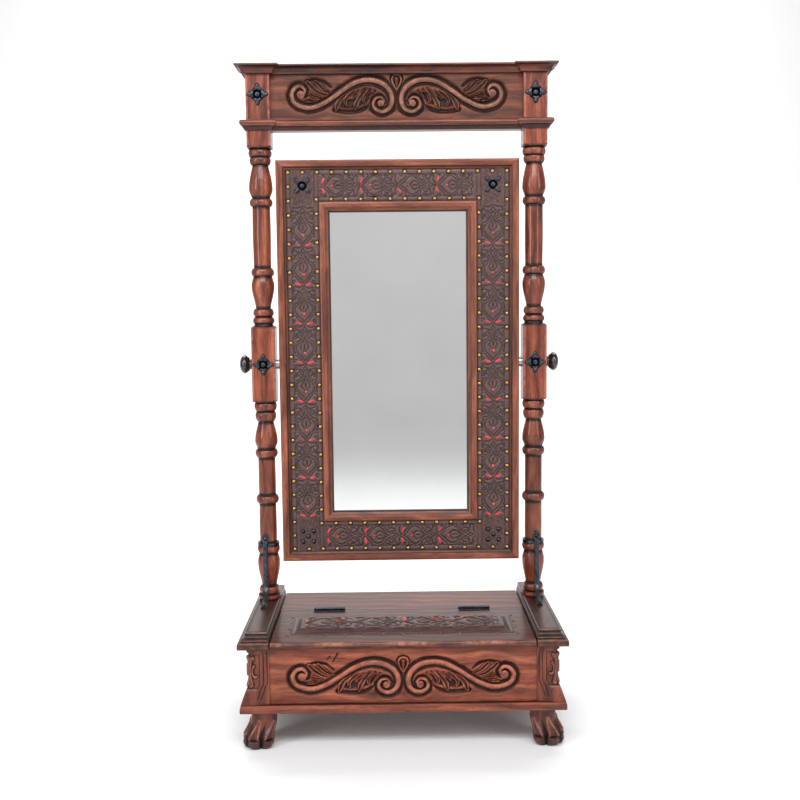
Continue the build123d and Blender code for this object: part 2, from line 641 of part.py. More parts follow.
panel_back = PANEL_FRONT + PANEL_THICKNESS
frame_outline = [(FRAME_BACK, 0), (FRAME_FRONT + FRAME_EDGE, 0), (FRAME_FRONT, FRAME_EDGE),
                 (FRAME_FRONT, FRAME_FLAT), (LEATHER_FRONT - SLOPE_DROP, FRAME_WIDTH),
                 (PANEL_FRONT, FRAME_WIDTH),
                 (PANEL_FRONT, FRAME_WIDTH - PANEL_REBATE), (FRAME_BACK, FRAME_WIDTH - PANEL_REBATE)]
frame_section = bar_from_outline(frame_outline)
frame_bars = mitred_bars(MIRROR_HALF_WIDTH, MIRROR_HALF_HEIGHT, FRAME_WIDTH, frame_section)

glass_front = BACKER_FRONT - GLASS_GAP
inner_outline = [(PANEL_FRONT, 0), (INNER_FRONT + INNER_EDGE[0], 0), (INNER_FRONT, INNER_EDGE[1]),
                 (INNER_FRONT, INNER_FLAT), (INNER_FRONT + INNER_SLOPE, INNER_WIDTH),
                 (glass_front, INNER_WIDTH), (glass_front, INNER_WIDTH - GLASS_REBATE),
                 (PANEL_FRONT, INNER_WIDTH - GLASS_REBATE)]
inner_section = bar_from_outline(inner_outline)
inner_bars = mitred_bars(INNER_HALF_WIDTH, INNER_HALF_HEIGHT, INNER_WIDTH, inner_section)

leather_half_width = MIRROR_HALF_WIDTH - FRAME_WIDTH
leather_half_height = MIRROR_HALF_HEIGHT - FRAME_WIDTH
leather_widths = (leather_half_width - INNER_HALF_WIDTH, leather_half_height - INNER_HALF_HEIGHT)


def leather_strip(name):
    """Leather-covered border board on one side. The side strips run the full height."""
    wide = leather_widths[0]
    tall = leather_widths[1]
    y0 = LEATHER_FRONT
    y1 = PANEL_FRONT
    if name in ("left", "right"):
        sign = -1 if name == "left" else 1
        x0 = sign * INNER_HALF_WIDTH
        return MIRROR * box(x0, x0 + sign * wide, y0, y1, -leather_half_height, leather_half_height)
    sign = -1 if name == "bottom" else 1
    z0 = sign * INNER_HALF_HEIGHT
    return MIRROR * box(-INNER_HALF_WIDTH, INNER_HALF_WIDTH, y0, y1, z0, z0 + sign * tall)


insert_hole = {"left": rod_x(-MIRROR_HALF_WIDTH - 1, -MIRROR_HALF_WIDTH + INSERT_DEPTH, 0, 0, INSERT_RADIUS),
               "right": rod_x(MIRROR_HALF_WIDTH + 1, MIRROR_HALF_WIDTH - INSERT_DEPTH, 0, 0, INSERT_RADIUS)}
for name, bar in frame_bars.items():
    if name in insert_hole:
        bar -= MIRROR * insert_hole[name]
    save(bar, "frame_" + name)
for name, bar in inner_bars.items():
    save(bar, "inner_frame_" + name)
for name in frame_bars:
    save(leather_strip(name), "leather_border_" + name)

glass_half_width = INNER_HALF_WIDTH - INNER_WIDTH + GLASS_REBATE - GLASS_GAP
glass_half_height = INNER_HALF_HEIGHT - INNER_WIDTH + GLASS_REBATE - GLASS_GAP
glass = MIRROR * box(-glass_half_width, glass_half_width, glass_front, glass_front + GLASS_THICKNESS,
                     -glass_half_height, glass_half_height)
save(glass, "mirror_glass")
panel_half_width = MIRROR_HALF_WIDTH - FRAME_WIDTH + PANEL_REBATE - PANEL_GAP
panel_half_height = MIRROR_HALF_HEIGHT - FRAME_WIDTH + PANEL_REBATE - PANEL_GAP
save(MIRROR * box(-panel_half_width, panel_half_width, PANEL_FRONT, panel_back,
                  -panel_half_height, panel_half_height), "mirror_back_panel")

TACK_MARGIN = 6.5


def tack_ring(half_width, half_height):
    """Places of a ring of nails in the panel's own XZ plane."""
    places = [(x, z) for z in (-half_height, half_height) for x in row(-half_width, half_width, TACK_PITCH)]
    places += [(x, z) for x in (-half_width, half_width)
               for z in row(-half_height, half_height, TACK_PITCH)[1:-1]]
    return places


tack = front_facing(dome(TACK_RADIUS, TACK_RISE))
ring_places = tack_ring(leather_half_width - TACK_MARGIN, leather_half_height - TACK_MARGIN)
ring_places += tack_ring(INNER_HALF_WIDTH + TACK_MARGIN, INNER_HALF_HEIGHT + TACK_MARGIN)
save_group([MIRROR * (Pos(x, LEATHER_FRONT, z) * tack) for x, z in ring_places], "border_tacks")

CORNER_STUD_RADIUS = 7.0
CORNER_STUD_RISE = 5.0
CORNER_STUD_SPREAD = 16.0
corner_x = (leather_half_width + INNER_HALF_WIDTH) / 2
corner_z = (leather_half_height + INNER_HALF_HEIGHT) / 2
stud = front_facing(dome(CORNER_STUD_RADIUS, CORNER_STUD_RISE))
cross = [(0, 0)] + [(i * CORNER_STUD_SPREAD, j * CORNER_STUD_SPREAD) for i in (-1, 1) for j in (-1, 1)]
studs = [MIRROR * (Pos(i * corner_x + x, LEATHER_FRONT, j * corner_z + z) * stud)
         for i in (-1, 1) for j in (-1, 1) for x, z in cross]
save_group(studs, "border_rosettes")

# ------------------------------------------------------------------ pivots, bolts and knobs
WASHER_GAP = 0.4
BOLT_END_GAP = 1.0
inserts = []
washers = []
for side_name, side in SIDES:
    inner_end = side * (MIRROR_HALF_WIDTH - INSERT_DEPTH)
    insert = rod_x(inner_end, side * MIRROR_HALF_WIDTH, 0, 0, INSERT_RADIUS)
    bore = BOLT_RADIUS + RUNNING_CLEARANCE
    insert -= rod_x(inner_end - side, side * MIRROR_HALF_WIDTH + side, 0, 0, bore)
    inserts.append(MIRROR * insert)
    washer_x = (side * (MIRROR_HALF_WIDTH + WASHER_GAP), side * BLOCK_INNER)
    washer = rod_x(*washer_x, 0, 0, WASHER_RADIUS)
    washer -= rod_x(washer_x[0] - side, washer_x[1] + side, 0, 0, bore)
    washers.append(MIRROR * washer)

    knob_base = BLOCK_OUTER + WASHER_GAP
    bolt_end = knob_base + BOLT_IN_KNOB
    bolt_start = inner_end + side * BOLT_END_GAP
    save(MIRROR * rod_x(bolt_start, side * bolt_end, 0, 0, BOLT_RADIUS), side_name + "_clamp_bolt")
    middle = knob_base + KNOB_WIDEST
    neck = (KNOB_NECK, knob_base + KNOB_NECK_HEIGHT)
    with BuildSketch(Plane.XZ) as knob_sketch:
        with BuildLine():
            Polyline((0, knob_base), (KNOB_FOOT, knob_base), neck)
            Spline(neck, (KNOB_RADIUS, middle), (0, KNOB_TIP), tangents=[KNOB_SLOPE, (-1, 0)])
            Line((0, KNOB_TIP), (0, knob_base))
        make_face()
    knob = Rot(0, side * 90, 0) * revolve(knob_sketch.sketch, Axis.Z, 360)
    knob -= rod_x(side * (knob_base - 1), side * bolt_end, 0, 0, BOLT_RADIUS)
    save(MIRROR * knob, side_name + "_knob")
save_group(inserts, "pivot_inserts")
save_group(washers, "pivot_washers")

# ------------------------------------------------------------------ iron braces
COLLAR_INNER = 29.3
COLLAR_OUTER = 32.5
COLLAR_Z = (495.0, 504.0)


def brace(side):
    """Forged strap from the post down to the rail cap, drawn from the side and extruded."""
    t = BRACE_THICKNESS
    out = BRACE_STRAP_Y
    post_face = BRACE_TAB_Y
    tab_bottom = BRACE_TOP - BRACE_TAB_HEIGHT
    strap_top = BRACE_TOP - BRACE_SHOULDER
    knee = (out - BRACE_LEAN, BRACE_BEND)
    toe_start = BRACE_FOOT_Y + BRACE_TOE[0]
    toe_end = BRACE_FOOT_Y - BRACE_TOE[1]
    toe_ease, knee_ease, top_ease = BRACE_EASING
    path = [(post_face, BRACE_TOP), (post_face, tab_bottom), (out, strap_top), knee,
            (toe_start, CAP_TOP), (toe_end, CAP_TOP)]
    front = [(toe_end, CAP_TOP + t), (toe_start - toe_ease, CAP_TOP + t), (knee[0] - t, knee[1] + knee_ease),
             (out - t, strap_top - top_ease), (post_face - t, tab_bottom - top_ease),
             (post_face - t, BRACE_TOP)]
    outline = make_face(Plane.YZ * Polyline(*(path + front), close=True))
    strap = extrude(outline, BRACE_WIDTH / 2, both=True)
    tab = rod_y(0, post_face - t, post_face, BRACE_TOP - BRACE_BOLT_DROP, BRACE_TAB_RADIUS)
    return Pos(side * BRACE_X, POST_Y, 0) * (strap + tab)


collars = []
screws = []
for side_name, side in SIDES:
    save(brace(side), side_name + "_brace")
    at_post = Pos(side * POST_X, POST_Y, 0)
    band = Cylinder(COLLAR_OUTER, COLLAR_Z[1] - COLLAR_Z[0]) - Cylinder(COLLAR_INNER, BEYOND)
    collars.append(at_post * (Pos(0, 0, sum(COLLAR_Z) / 2) * band)
                   - Pos(side * BRACE_X, POST_Y - BEYOND / 2, sum(COLLAR_Z) / 2)
                   * Box(BRACE_WIDTH + COLLAR_GAP, BEYOND - SQUARE / 2, BEYOND))
    head = dome(*BRACE_BOLT)
    tab_face = POST_Y + BRACE_TAB_Y - BRACE_THICKNESS
    screws.append(Pos(side * BRACE_X, tab_face, BRACE_TOP - BRACE_BOLT_DROP) * front_facing(head))
    screws.append(Pos(side * BRACE_X, POST_Y + BRACE_FOOT_Y, CAP_TOP + BRACE_THICKNESS) * head)
save_group(collars, "brace_collars")
save_group(screws, "brace_screws")
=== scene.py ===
"""Looks of the carved cheval mirror: its wooden, leather, iron and brass surfaces round the CAD frame.

Lengths in the shape code are millimetres in the row frame (+X right, +Y to the back, +Z up);
meshes are scaled to metres as they are made.
"""
import json
import math
import bmesh
import bpy
import numpy as np
from mathutils import Matrix, Vector


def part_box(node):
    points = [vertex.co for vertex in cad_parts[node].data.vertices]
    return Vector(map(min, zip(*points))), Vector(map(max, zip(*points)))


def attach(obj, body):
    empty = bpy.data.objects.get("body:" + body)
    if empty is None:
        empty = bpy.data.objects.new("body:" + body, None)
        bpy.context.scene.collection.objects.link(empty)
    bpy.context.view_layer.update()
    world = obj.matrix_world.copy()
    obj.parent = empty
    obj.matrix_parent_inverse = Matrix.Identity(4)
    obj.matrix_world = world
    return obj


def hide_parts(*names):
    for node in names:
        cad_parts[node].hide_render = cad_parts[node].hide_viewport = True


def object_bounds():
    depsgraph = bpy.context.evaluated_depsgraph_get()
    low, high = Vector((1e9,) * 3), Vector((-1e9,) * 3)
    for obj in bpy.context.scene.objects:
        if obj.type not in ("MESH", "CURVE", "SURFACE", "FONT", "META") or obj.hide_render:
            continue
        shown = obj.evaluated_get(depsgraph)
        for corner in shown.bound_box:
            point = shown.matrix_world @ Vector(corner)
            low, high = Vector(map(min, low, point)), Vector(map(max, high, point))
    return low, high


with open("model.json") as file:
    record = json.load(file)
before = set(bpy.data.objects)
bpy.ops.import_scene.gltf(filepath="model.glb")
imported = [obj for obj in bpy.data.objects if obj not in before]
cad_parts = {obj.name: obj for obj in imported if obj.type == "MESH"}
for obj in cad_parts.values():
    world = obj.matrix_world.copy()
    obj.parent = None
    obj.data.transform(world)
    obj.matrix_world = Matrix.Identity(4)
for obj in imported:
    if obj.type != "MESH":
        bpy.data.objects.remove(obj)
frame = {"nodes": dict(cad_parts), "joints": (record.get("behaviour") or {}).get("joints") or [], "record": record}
cad_low, cad_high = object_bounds()

MM = 0.001
CAD = frame["nodes"]
PIVOT = next(Vector(j["pos_m"]) / MM for j in frame["joints"] if j["name"] == "mirror_tilt")
SIDES = {-1: "left", 1: "right"}
GOLDEN_ANGLE = 2.39996


def corner_name(side, front):
    return ("front_" if front else "back_") + SIDES[side]


def node_box(name):
    """Lowest and highest corners of a CAD node, in millimetres."""
    low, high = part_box(name)
    return np.array(low) / MM, np.array(high) / MM


def islands(name):
    """Boxes (low, high) of the separate solids of a CAD node, in millimetres, left to right."""
    mesh = CAD[name].data
    points = np.zeros(len(mesh.vertices) * 3)
    mesh.vertices.foreach_get("co", points)
    points = points.reshape(-1, 3) / MM
    ends = np.zeros(len(mesh.edges) * 2, int)
    mesh.edges.foreach_get("vertices", ends)
    place, same = np.unique(np.round(points, 2), axis=0, return_inverse=True)
    same = same.ravel()
    a, b = same[ends[0::2]], same[ends[1::2]]
    label = np.arange(len(place))
    while True:
        lowest = label.copy()
        np.minimum.at(lowest, a, label[b])
        np.minimum.at(lowest, b, label[a])
        lowest = lowest[lowest]
        if (lowest == label).all():
            break
        label = lowest
    found = [place[label == k] for k in np.unique(label)]
    boxes = [(p.min(0), p.max(0)) for p in found]
    return sorted(boxes, key=lambda box: (round(box[0][0], 1), round(box[0][2], 1), round(box[0][1], 1)))


# ================================================================== meshes
def add_piece(name, verts, faces, material, body, replaced=(), fields=None, crease=40.0):
    """Mesh object in the row frame from millimetre points. fields holds one number per point by name."""
    mesh = bpy.data.meshes.new(name)
    verts = np.asarray(verts, float)
    mesh.from_pydata((verts * MM).tolist(), [], [list(map(int, f)) for f in faces])
    for field, values in (fields or {}).items():
        layer = mesh.attributes.new(field, "FLOAT", "POINT")
        layer.data.foreach_set("value", np.asarray(values, np.float32))
    shell = bmesh.new()
    shell.from_mesh(mesh)
    bmesh.ops.recalc_face_normals(shell, faces=shell.faces)
    shell.to_mesh(mesh)
    shell.free()
    mesh.polygons.foreach_set("use_smooth", [True] * len(mesh.polygons))
    mesh.set_sharp_from_angle(angle=math.radians(crease))
    mesh.materials.append(material)
    piece = bpy.data.objects.new(name, mesh)
    bpy.context.scene.collection.objects.link(piece)
    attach(piece, body)
    if replaced:
        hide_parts(*replaced)
    return piece


def grid_faces(rows, cols, wrap=False, start=0):
    """Quads over a grid of points stored row by row. wrap joins the last column to the first."""
    index = np.arange(rows * cols).reshape(rows, cols) + start
    left = index if wrap else index[:, :-1]
    right = np.roll(index, -1, axis=1) if wrap else index[:, 1:]
    quads = np.stack([left[:-1], right[:-1], right[1:], left[1:]], axis=-1)
    return quads.reshape(-1, 4)


def capped(rows, around, flip=False):
    """Faces over a stack of rings, with a flat face at both ends. flip turns the first one over."""
    first = list(range(around))
    last = list(range((rows - 1) * around, rows * around))
    return grid_faces(rows, around, wrap=True).tolist() + [first[::-1] if flip else first, last]


class Shape:
    """Points and faces of one piece, gathered from several surfaces."""

    def __init__(self):
        self.points = []
        self.faces = []
        self.fields = {}
        self.count = 0

    def add(self, points, faces, **fields):
        points = np.asarray(points, float).reshape(-1, 3)
        self.points.append(points)
        listed = faces if isinstance(faces, list) else faces.tolist()
        self.faces += [[i + self.count for i in face] for face in listed]
        for name in set(self.fields) | set(fields):
            values = fields.get(name, 0.0)
            column = np.broadcast_to(np.asarray(values, float), (len(points),))
            self.fields.setdefault(name, [np.zeros(self.count)]).append(column)
        self.count += len(points)

    def piece(self, name, material, body, slot, replaced=(), crease=40.0):
        fields = {k: np.concatenate(v) for k, v in self.fields.items()}
        return add_piece(name, np.concatenate(self.points), self.faces, material, body,
                         replaced, fields, crease)


def smooth_step(value):
    value = np.clip(value, 0, 1)
    return value * value * (3 - 2 * value)


def curve_through(points, per_span=10):
    """Smooth line through given points, a uniform Catmull-Rom curve."""
    p = np.asarray(points, float)
    if len(p) == 2:
        return p[0] + (p[1] - p[0]) * np.linspace(0, 1, per_span)[:, None]
    padded = np.vstack([2 * p[0] - p[1], p, 2 * p[-1] - p[-2]])
    t = np.linspace(0, 1, per_span, endpoint=False)[:, None]
    spans = []
    for a, b, c, d in zip(padded[:-3], padded[1:-2], padded[2:-1], padded[3:]):
        spans.append(0.5 * (2 * b + (c - a) * t + (2 * a - 5 * b + 4 * c - d) * t ** 2
                            + (3 * b - a - 3 * c + d) * t ** 3))
    return np.vstack(spans + [p[-1:]])


def box_blur(field, radius):
    """Mean of a square window, edges repeated."""
    size = 2 * radius + 1
    padded = np.pad(field, radius + 1, mode="edge").cumsum(0).cumsum(1)
    total = (padded[size:, size:] - padded[:-size, size:] - padded[size:, :-size] + padded[:-size, :-size])
    return total[:field.shape[0], :field.shape[1]] / size ** 2


def ripple(x, z, pitch, seed):
    """Gentle unevenness from a few crossed waves, -1 to 1."""
    total = 0
    for k in range(5):
        turn = seed * 1.7 + k * GOLDEN_ANGLE
        wave = 2 * math.pi / (pitch * (0.7 + 0.23 * k))
        total = total + np.sin((x * math.cos(turn) + z * math.sin(turn)) * wave + seed * 3.1 + k * 1.3)
    return total / 5


# ================================================================== relief
class Relief:
    """Height field over a flat face, in millimetres; the glaze and painted shade of its hollows are worked out
    from it.
    """

    def __init__(self, x, z):
        self.x, self.z = np.meshgrid(x, z)
        self.height = np.zeros_like(self.x)
        self.step = x[1] - x[0]

    def stroke(self, points, widths, mirrored=True, per_span=10):
        """Distance to a stroke, its half width, the share of its length and its left-hand side, per point."""
        line = curve_through(points, per_span)
        share = np.linspace(0, 1, len(line))
        half = np.interp(share, np.linspace(0, 1, len(widths)), widths)
        px = -np.abs(self.x) if mirrored else self.x
        best = np.full(self.x.shape, 1e9)
        width = np.ones(self.x.shape)
        along = np.zeros(self.x.shape)
        side = np.zeros(self.x.shape)
        for i in range(len(line) - 1):
            (ax, az), (bx, bz) = line[i], line[i + 1]
            dx, dz = bx - ax, bz - az
            length2 = dx * dx + dz * dz + 1e-9
            t = np.clip(((px - ax) * dx + (self.z - az) * dz) / length2, 0, 1)
            ox, oz = px - ax - t * dx, self.z - az - t * dz
            d = np.sqrt(ox * ox + oz * oz)
            near = d - (half[i] + t * (half[i + 1] - half[i])) < best - width
            best = np.where(near, d, best)
            width = np.where(near, half[i] + t * (half[i + 1] - half[i]), width)
            along = np.where(near, share[i] + t * (share[i + 1] - share[i]), along)
            side = np.where(near, np.sign(dx * oz - dz * ox), side)
        return best, np.maximum(width, 0.1), along, side

    def raise_to(self, height):
        self.height = np.maximum(self.height, height)


# S-scroll of the left half, from the outer eye to the inner eye: x from the middle, z from the outer eye.
SCROLL = ((-266, 3), (-266, 14), (-277, 24), (-293, 19), (-303, 1), (-296, -21), (-275, -33.5),
          (-247, -37), (-215, -26), (-183, -7), (-150, 16), (-118, 34), (-84, 41), (-50, 35),
          (-24, 16), (-13, -13), (-21, -39), (-42, -50), (-62, -42), (-68, -27), (-60, -12),
          (-45, -10), (-36, -20))
SCROLL_WIDTHS = (4, 5.5, 6.5, 7.2, 7.8, 8.2, 8.6, 8.9, 8.6, 8.2, 8.2, 8.6, 8.9, 9.0,
                 9.0, 8.6, 8.0, 7.4, 6.6, 5.6, 4.8, 4, 3.6)
EYES = (((-277, 0), 13.5), ((-46, -26), 11.5))
# Leaf lobes of the left half: (stroke, half widths).
LEAVES = (
    (((-187, 2), (-207, 12), (-222, 25), (-233, 37)), (2.5, 4.6, 7.0, 5.0)),
    (((-192, -3), (-222, 4), (-244, 20), (-257, 34)), (2.5, 5.6, 8.4, 6.6)),
    (((-200, -9), (-226, -7), (-240, -4), (-250, 1)), (2.5, 4.2, 5.0, 3.6)),
    (((-219, -16), (-236, -17), (-250, -18), (-262, -19)), (2.0, 3.6, 4.2, 2.6)),
    (((-146, 0), (-162, -14), (-171, -29), (-176, -45)), (3.4, 7.8, 9.8, 4.0)),
    (((-121, 10), (-139, -5), (-149, -20), (-146, -32)), (2.8, 4.8, 5.8, 3.6)),
    (((-111, 8), (-121, -1), (-128, -13)), (2.4, 4.2, 3.8)),
    (((-90, 14), (-106, -8), (-117, -26), (-121, -42)), (3.4, 7.2, 9.2, 4.0)),
    (((-77, 11), (-89, -2), (-96, -15), (-93, -24)), (2.8, 4.6, 5.4, 3.4)),
    (((-64, 8), (-72, -2), (-77, -9)), (2.2, 4.0, 3.4)),
)
# Cut-away ground round the leaves.
GROUNDS = (
    (((-275, 33), (-239, 42), (-210, 36), (-190, 21)), (5, 8, 8, 5)),
    (((-180, -44), (-150, -49), (-112, -47), (-80, -31)), (9, 10, 10, 8)),
    (((-172, -22), (-142, -26), (-100, -16), (-76, 0)), (12, 16, 16, 10)),
)
TULIP = (((-1, 12), (-9, 28), (-13, 41), (-9, 52), (0, 56)), (2.2, 3.4, 3.8, 3.6, 3.4))
BUD = (((0, 18), (0, 30), (0, 42)), (1.6, 4.6, 3.6))
TRENCH_DEPTH = 10.5
WALL_SLOPE = 8.5
LEAF_GAP = 4.5
TULIP_GAP = 6.5
TULIP_RISE = 7.0
LOBE_FOOT, LOBE_RISE = 4.2, 4.8


def carve_scrolls(relief, eye_z, stretch, margin):
    """Cut the double S-scroll with its leaves into a flat face, leaving the wood's own face round it."""
    def placed(points):
        return [(x, eye_z + z * stretch) for x, z in points]

    scroll = relief.stroke(placed(SCROLL), SCROLL_WIDTHS, per_span=8)
    lobes = [relief.stroke(placed(points), widths) for points, widths in LEAVES]
    tulip = relief.stroke(placed(TULIP[0]), TULIP[1])
    bud = relief.stroke(placed(BUD[0]), BUD[1])
    outline = scroll[0] - scroll[1] - margin
    for distance, width, *_ in lobes:
        outline = np.minimum(outline, distance - width - LEAF_GAP)
    for points, widths in GROUNDS:
        distance, width = relief.stroke(placed(points), widths)[:2]
        outline = np.minimum(outline, distance - width)
    outline = np.minimum(outline, tulip[0] - tulip[1] - TULIP_GAP)
    wobble = 0.7 * ripple(relief.x, relief.z, 31, 2.0)
    wall = np.clip(-(outline + wobble) / WALL_SLOPE, 0, 1) ** 0.9
    tooling = 0.35 * ripple(relief.x * 1.6, relief.z, 9, 5.0)
    relief.height = -(TRENCH_DEPTH + tooling) * wall
    floor = relief.height.copy()

    def body_of(distance, width, roundness):
        u = np.clip(distance / width, 0, 1)
        return (1 - u ** roundness) ** 0.55

    for distance, width, along, _ in lobes:
        u = distance / width
        inside = np.clip(1 - u ** 5, 0, 1)
        rim = np.exp(-((u - 0.70) / 0.17) ** 2)
        hollow = np.exp(-(distance / (0.36 * width)) ** 2)
        rise = (LOBE_FOOT + LOBE_RISE * smooth_step(along * 1.25)) * (0.78 + 0.34 * rim - 0.30 * hollow)
        relief.raise_to(np.where(u < 1, floor + inside ** 0.6 * np.minimum(rise, TRENCH_DEPTH - 1), -1e9))
    for distance, width, *_ in (tulip, bud):
        inside = body_of(distance, width, 2.4)
        relief.raise_to(np.where(distance < width, floor + TULIP_RISE * inside, -1e9))
    distance, width, _, side = scroll
    u = np.clip(distance / width, 0, 1)
    band = (1 - u ** 2.3) ** 0.70
    groove = 0.9 * np.exp(-((side * distance + 0.42 * width) / 1.1) ** 2)
    bar = floor + (TRENCH_DEPTH - 0.4) * band - groove * band
    relief.raise_to(np.where(distance < width, bar, -1e9))
    px = -np.abs(relief.x)
    for (ex, ez), radius in EYES:
        d = np.hypot(px - ex, relief.z - eye_z - ez * stretch) / radius
        dome = -1.6 + 1.4 * np.sqrt(np.clip(1 - d ** 2, 0, 1))
        relief.raise_to(np.where(d < 1, np.minimum(dome, -TRENCH_DEPTH + (1 - d) * 42), -1e9))
    return wall


def hollow_shade_and_glaze(height, near, depth_scale):
    """Glaze and painted shade in the hollows (0 to 1), less where an edge stands proud; below zero, on proud
    edges, a painted highlight.
    """
    around = box_blur(height, near)
    wide = box_blur(height, near * 3)
    fine = np.clip((around - height) / 1.8, -0.6, 1)
    return fine * 0.55 + np.clip((wide - height) / depth_scale, -0.3, 1) * 0.5


def relief_slab(name, material, body, replaced, carve, step=1.25, crease=62):
    """Board whose front face (towards -Y) carries a relief; its sides and back stay flat.
    carve(relief) sets relief.height and may return more fields."""
    low, high = node_box(replaced[0])
    cols = int(round((high[0] - low[0]) / step)) + 1
    rows = int(round((high[2] - low[2]) / step)) + 1
    relief = Relief(np.linspace(low[0], high[0], cols), np.linspace(low[2], high[2], rows))
    # By default the darkening is glaze and painted shade in the hollows, with painted highlights on proud edges.
    fields = carve(relief) or {"stain": hollow_shade_and_glaze(relief.height, 3, 7.0)}
    front = np.stack([relief.x, low[1] - relief.height, relief.z], -1)
    index = np.arange(rows * cols).reshape(rows, cols)
    n = rows * cols
    corners = [(low[0], low[2]), (high[0], low[2]), (high[0], high[2]), (low[0], high[2])]
    points = np.vstack([front.reshape(-1, 3), [(x, high[1], z) for x, z in corners]])
    bottom, top = index[0].tolist(), index[-1].tolist()
    left, right = index[:, 0].tolist(), index[:, -1].tolist()
    faces = grid_faces(rows, cols).tolist()
    faces += [bottom + [n + 1, n], right + [n + 2, n + 1], top[::-1] + [n + 3, n + 2],
              left[::-1] + [n, n + 3], [n, n + 1, n + 2, n + 3]]
    fields = {key: np.append(np.ravel(values), [0] * 4) for key, values in fields.items()}
    return add_piece(name, points, faces, material, body, replaced, fields, crease)


# ================================================================== materials
class Nodes:
    """Short way to write a material's node tree."""

    def __init__(self, name):
        self.material = bpy.data.materials.new(name)
        self.material.use_nodes = True
        self.tree = self.material.node_tree
        self.shader = next(n for n in self.tree.nodes if n.type == "BSDF_PRINCIPLED")

    def set(self, node, inputs):
        for key, value in inputs.items():
            socket = node.inputs[key]
            if isinstance(value, bpy.types.NodeSocket):
                self.tree.links.new(value, socket)
            else:
                socket.default_value = value

    def add(self, kind, inputs=None, output=0, **settings):
        node = self.tree.nodes.new("ShaderNode" + kind)
        for key, value in settings.items():
            setattr(node, key, value)
        self.set(node, inputs or {})
        return node.outputs[output]

    def coords(self, scale, turn=(0, 0, 0), shift=(0, 0, 0)):
        position = self.add("TexCoord", output="Object")
        return self.add("Mapping", {0: position, "Location": shift, "Rotation": turn, "Scale": scale})

    def noise(self, vector, scale, detail=3.0, rough=0.55, distortion=0.0):
        return self.add("TexNoise", {"Vector": vector, "Scale": scale, "Detail": detail,
                                     "Roughness": rough, "Distortion": distortion})

    def math(self, operation, a, b=0.0, c=0.0, clamp=False):
        return self.add("Math", {0: a, 1: b, 2: c}, operation=operation, use_clamp=clamp)

    def remap(self, value, low, high, to_low=0.0, to_high=1.0):
        return self.add("MapRange", {0: value, 1: low, 2: high, 3: to_low, 4: to_high})

    def ramp(self, value, stops):
        node = self.tree.nodes.new("ShaderNodeValToRGB")
        elements = node.color_ramp.elements
        while len(elements) < len(stops):
            elements.new(0.5)
        for element, (place, colour) in zip(elements, stops):
            element.position = place
            element.color = (*colour, 1)
        self.tree.links.new(value, node.inputs[0])
        return node.outputs[0]

    def mix(self, share, a, b, blend="MIX"):
        node = self.tree.nodes.new("ShaderNodeMix")
        node.data_type = "RGBA"
        node.blend_type = blend
        sockets = [s for s in node.inputs if s.type == "RGBA"]
        for socket, value in zip([node.inputs[0]] + sockets, (share, a, b)):
            if isinstance(value, bpy.types.NodeSocket):
                self.tree.links.new(value, socket)
            else:
                socket.default_value = value if isinstance(value, float) else (*value, 1)
        return next(s for s in node.outputs if s.type == "RGBA")

    def bump(self, height, strength, distance):
        return self.add("Bump", {"Height": height, "Strength": strength, "Distance": distance})

    def field(self, name):
        return self.add("Attribute", output="Fac", attribute_name=name)

    def shade(self, colour, factor):
        """Colour times a grey factor."""
        return self.mix(1.0, colour, self.add("CombineColor", {0: factor, 1: factor, 2: factor}), "MULTIPLY")


# Umber: the colour of the pores and of the glaze, also laid on as painted shade.
UMBER_AND_SHADE = (0.006, 0.0025, 0.0020)
GRAIN_TURNS = {"X": (0, 0, 0), "Y": (0, 0, math.pi / 2), "Z": (0, math.pi / 2, 0)}
_woods = {}


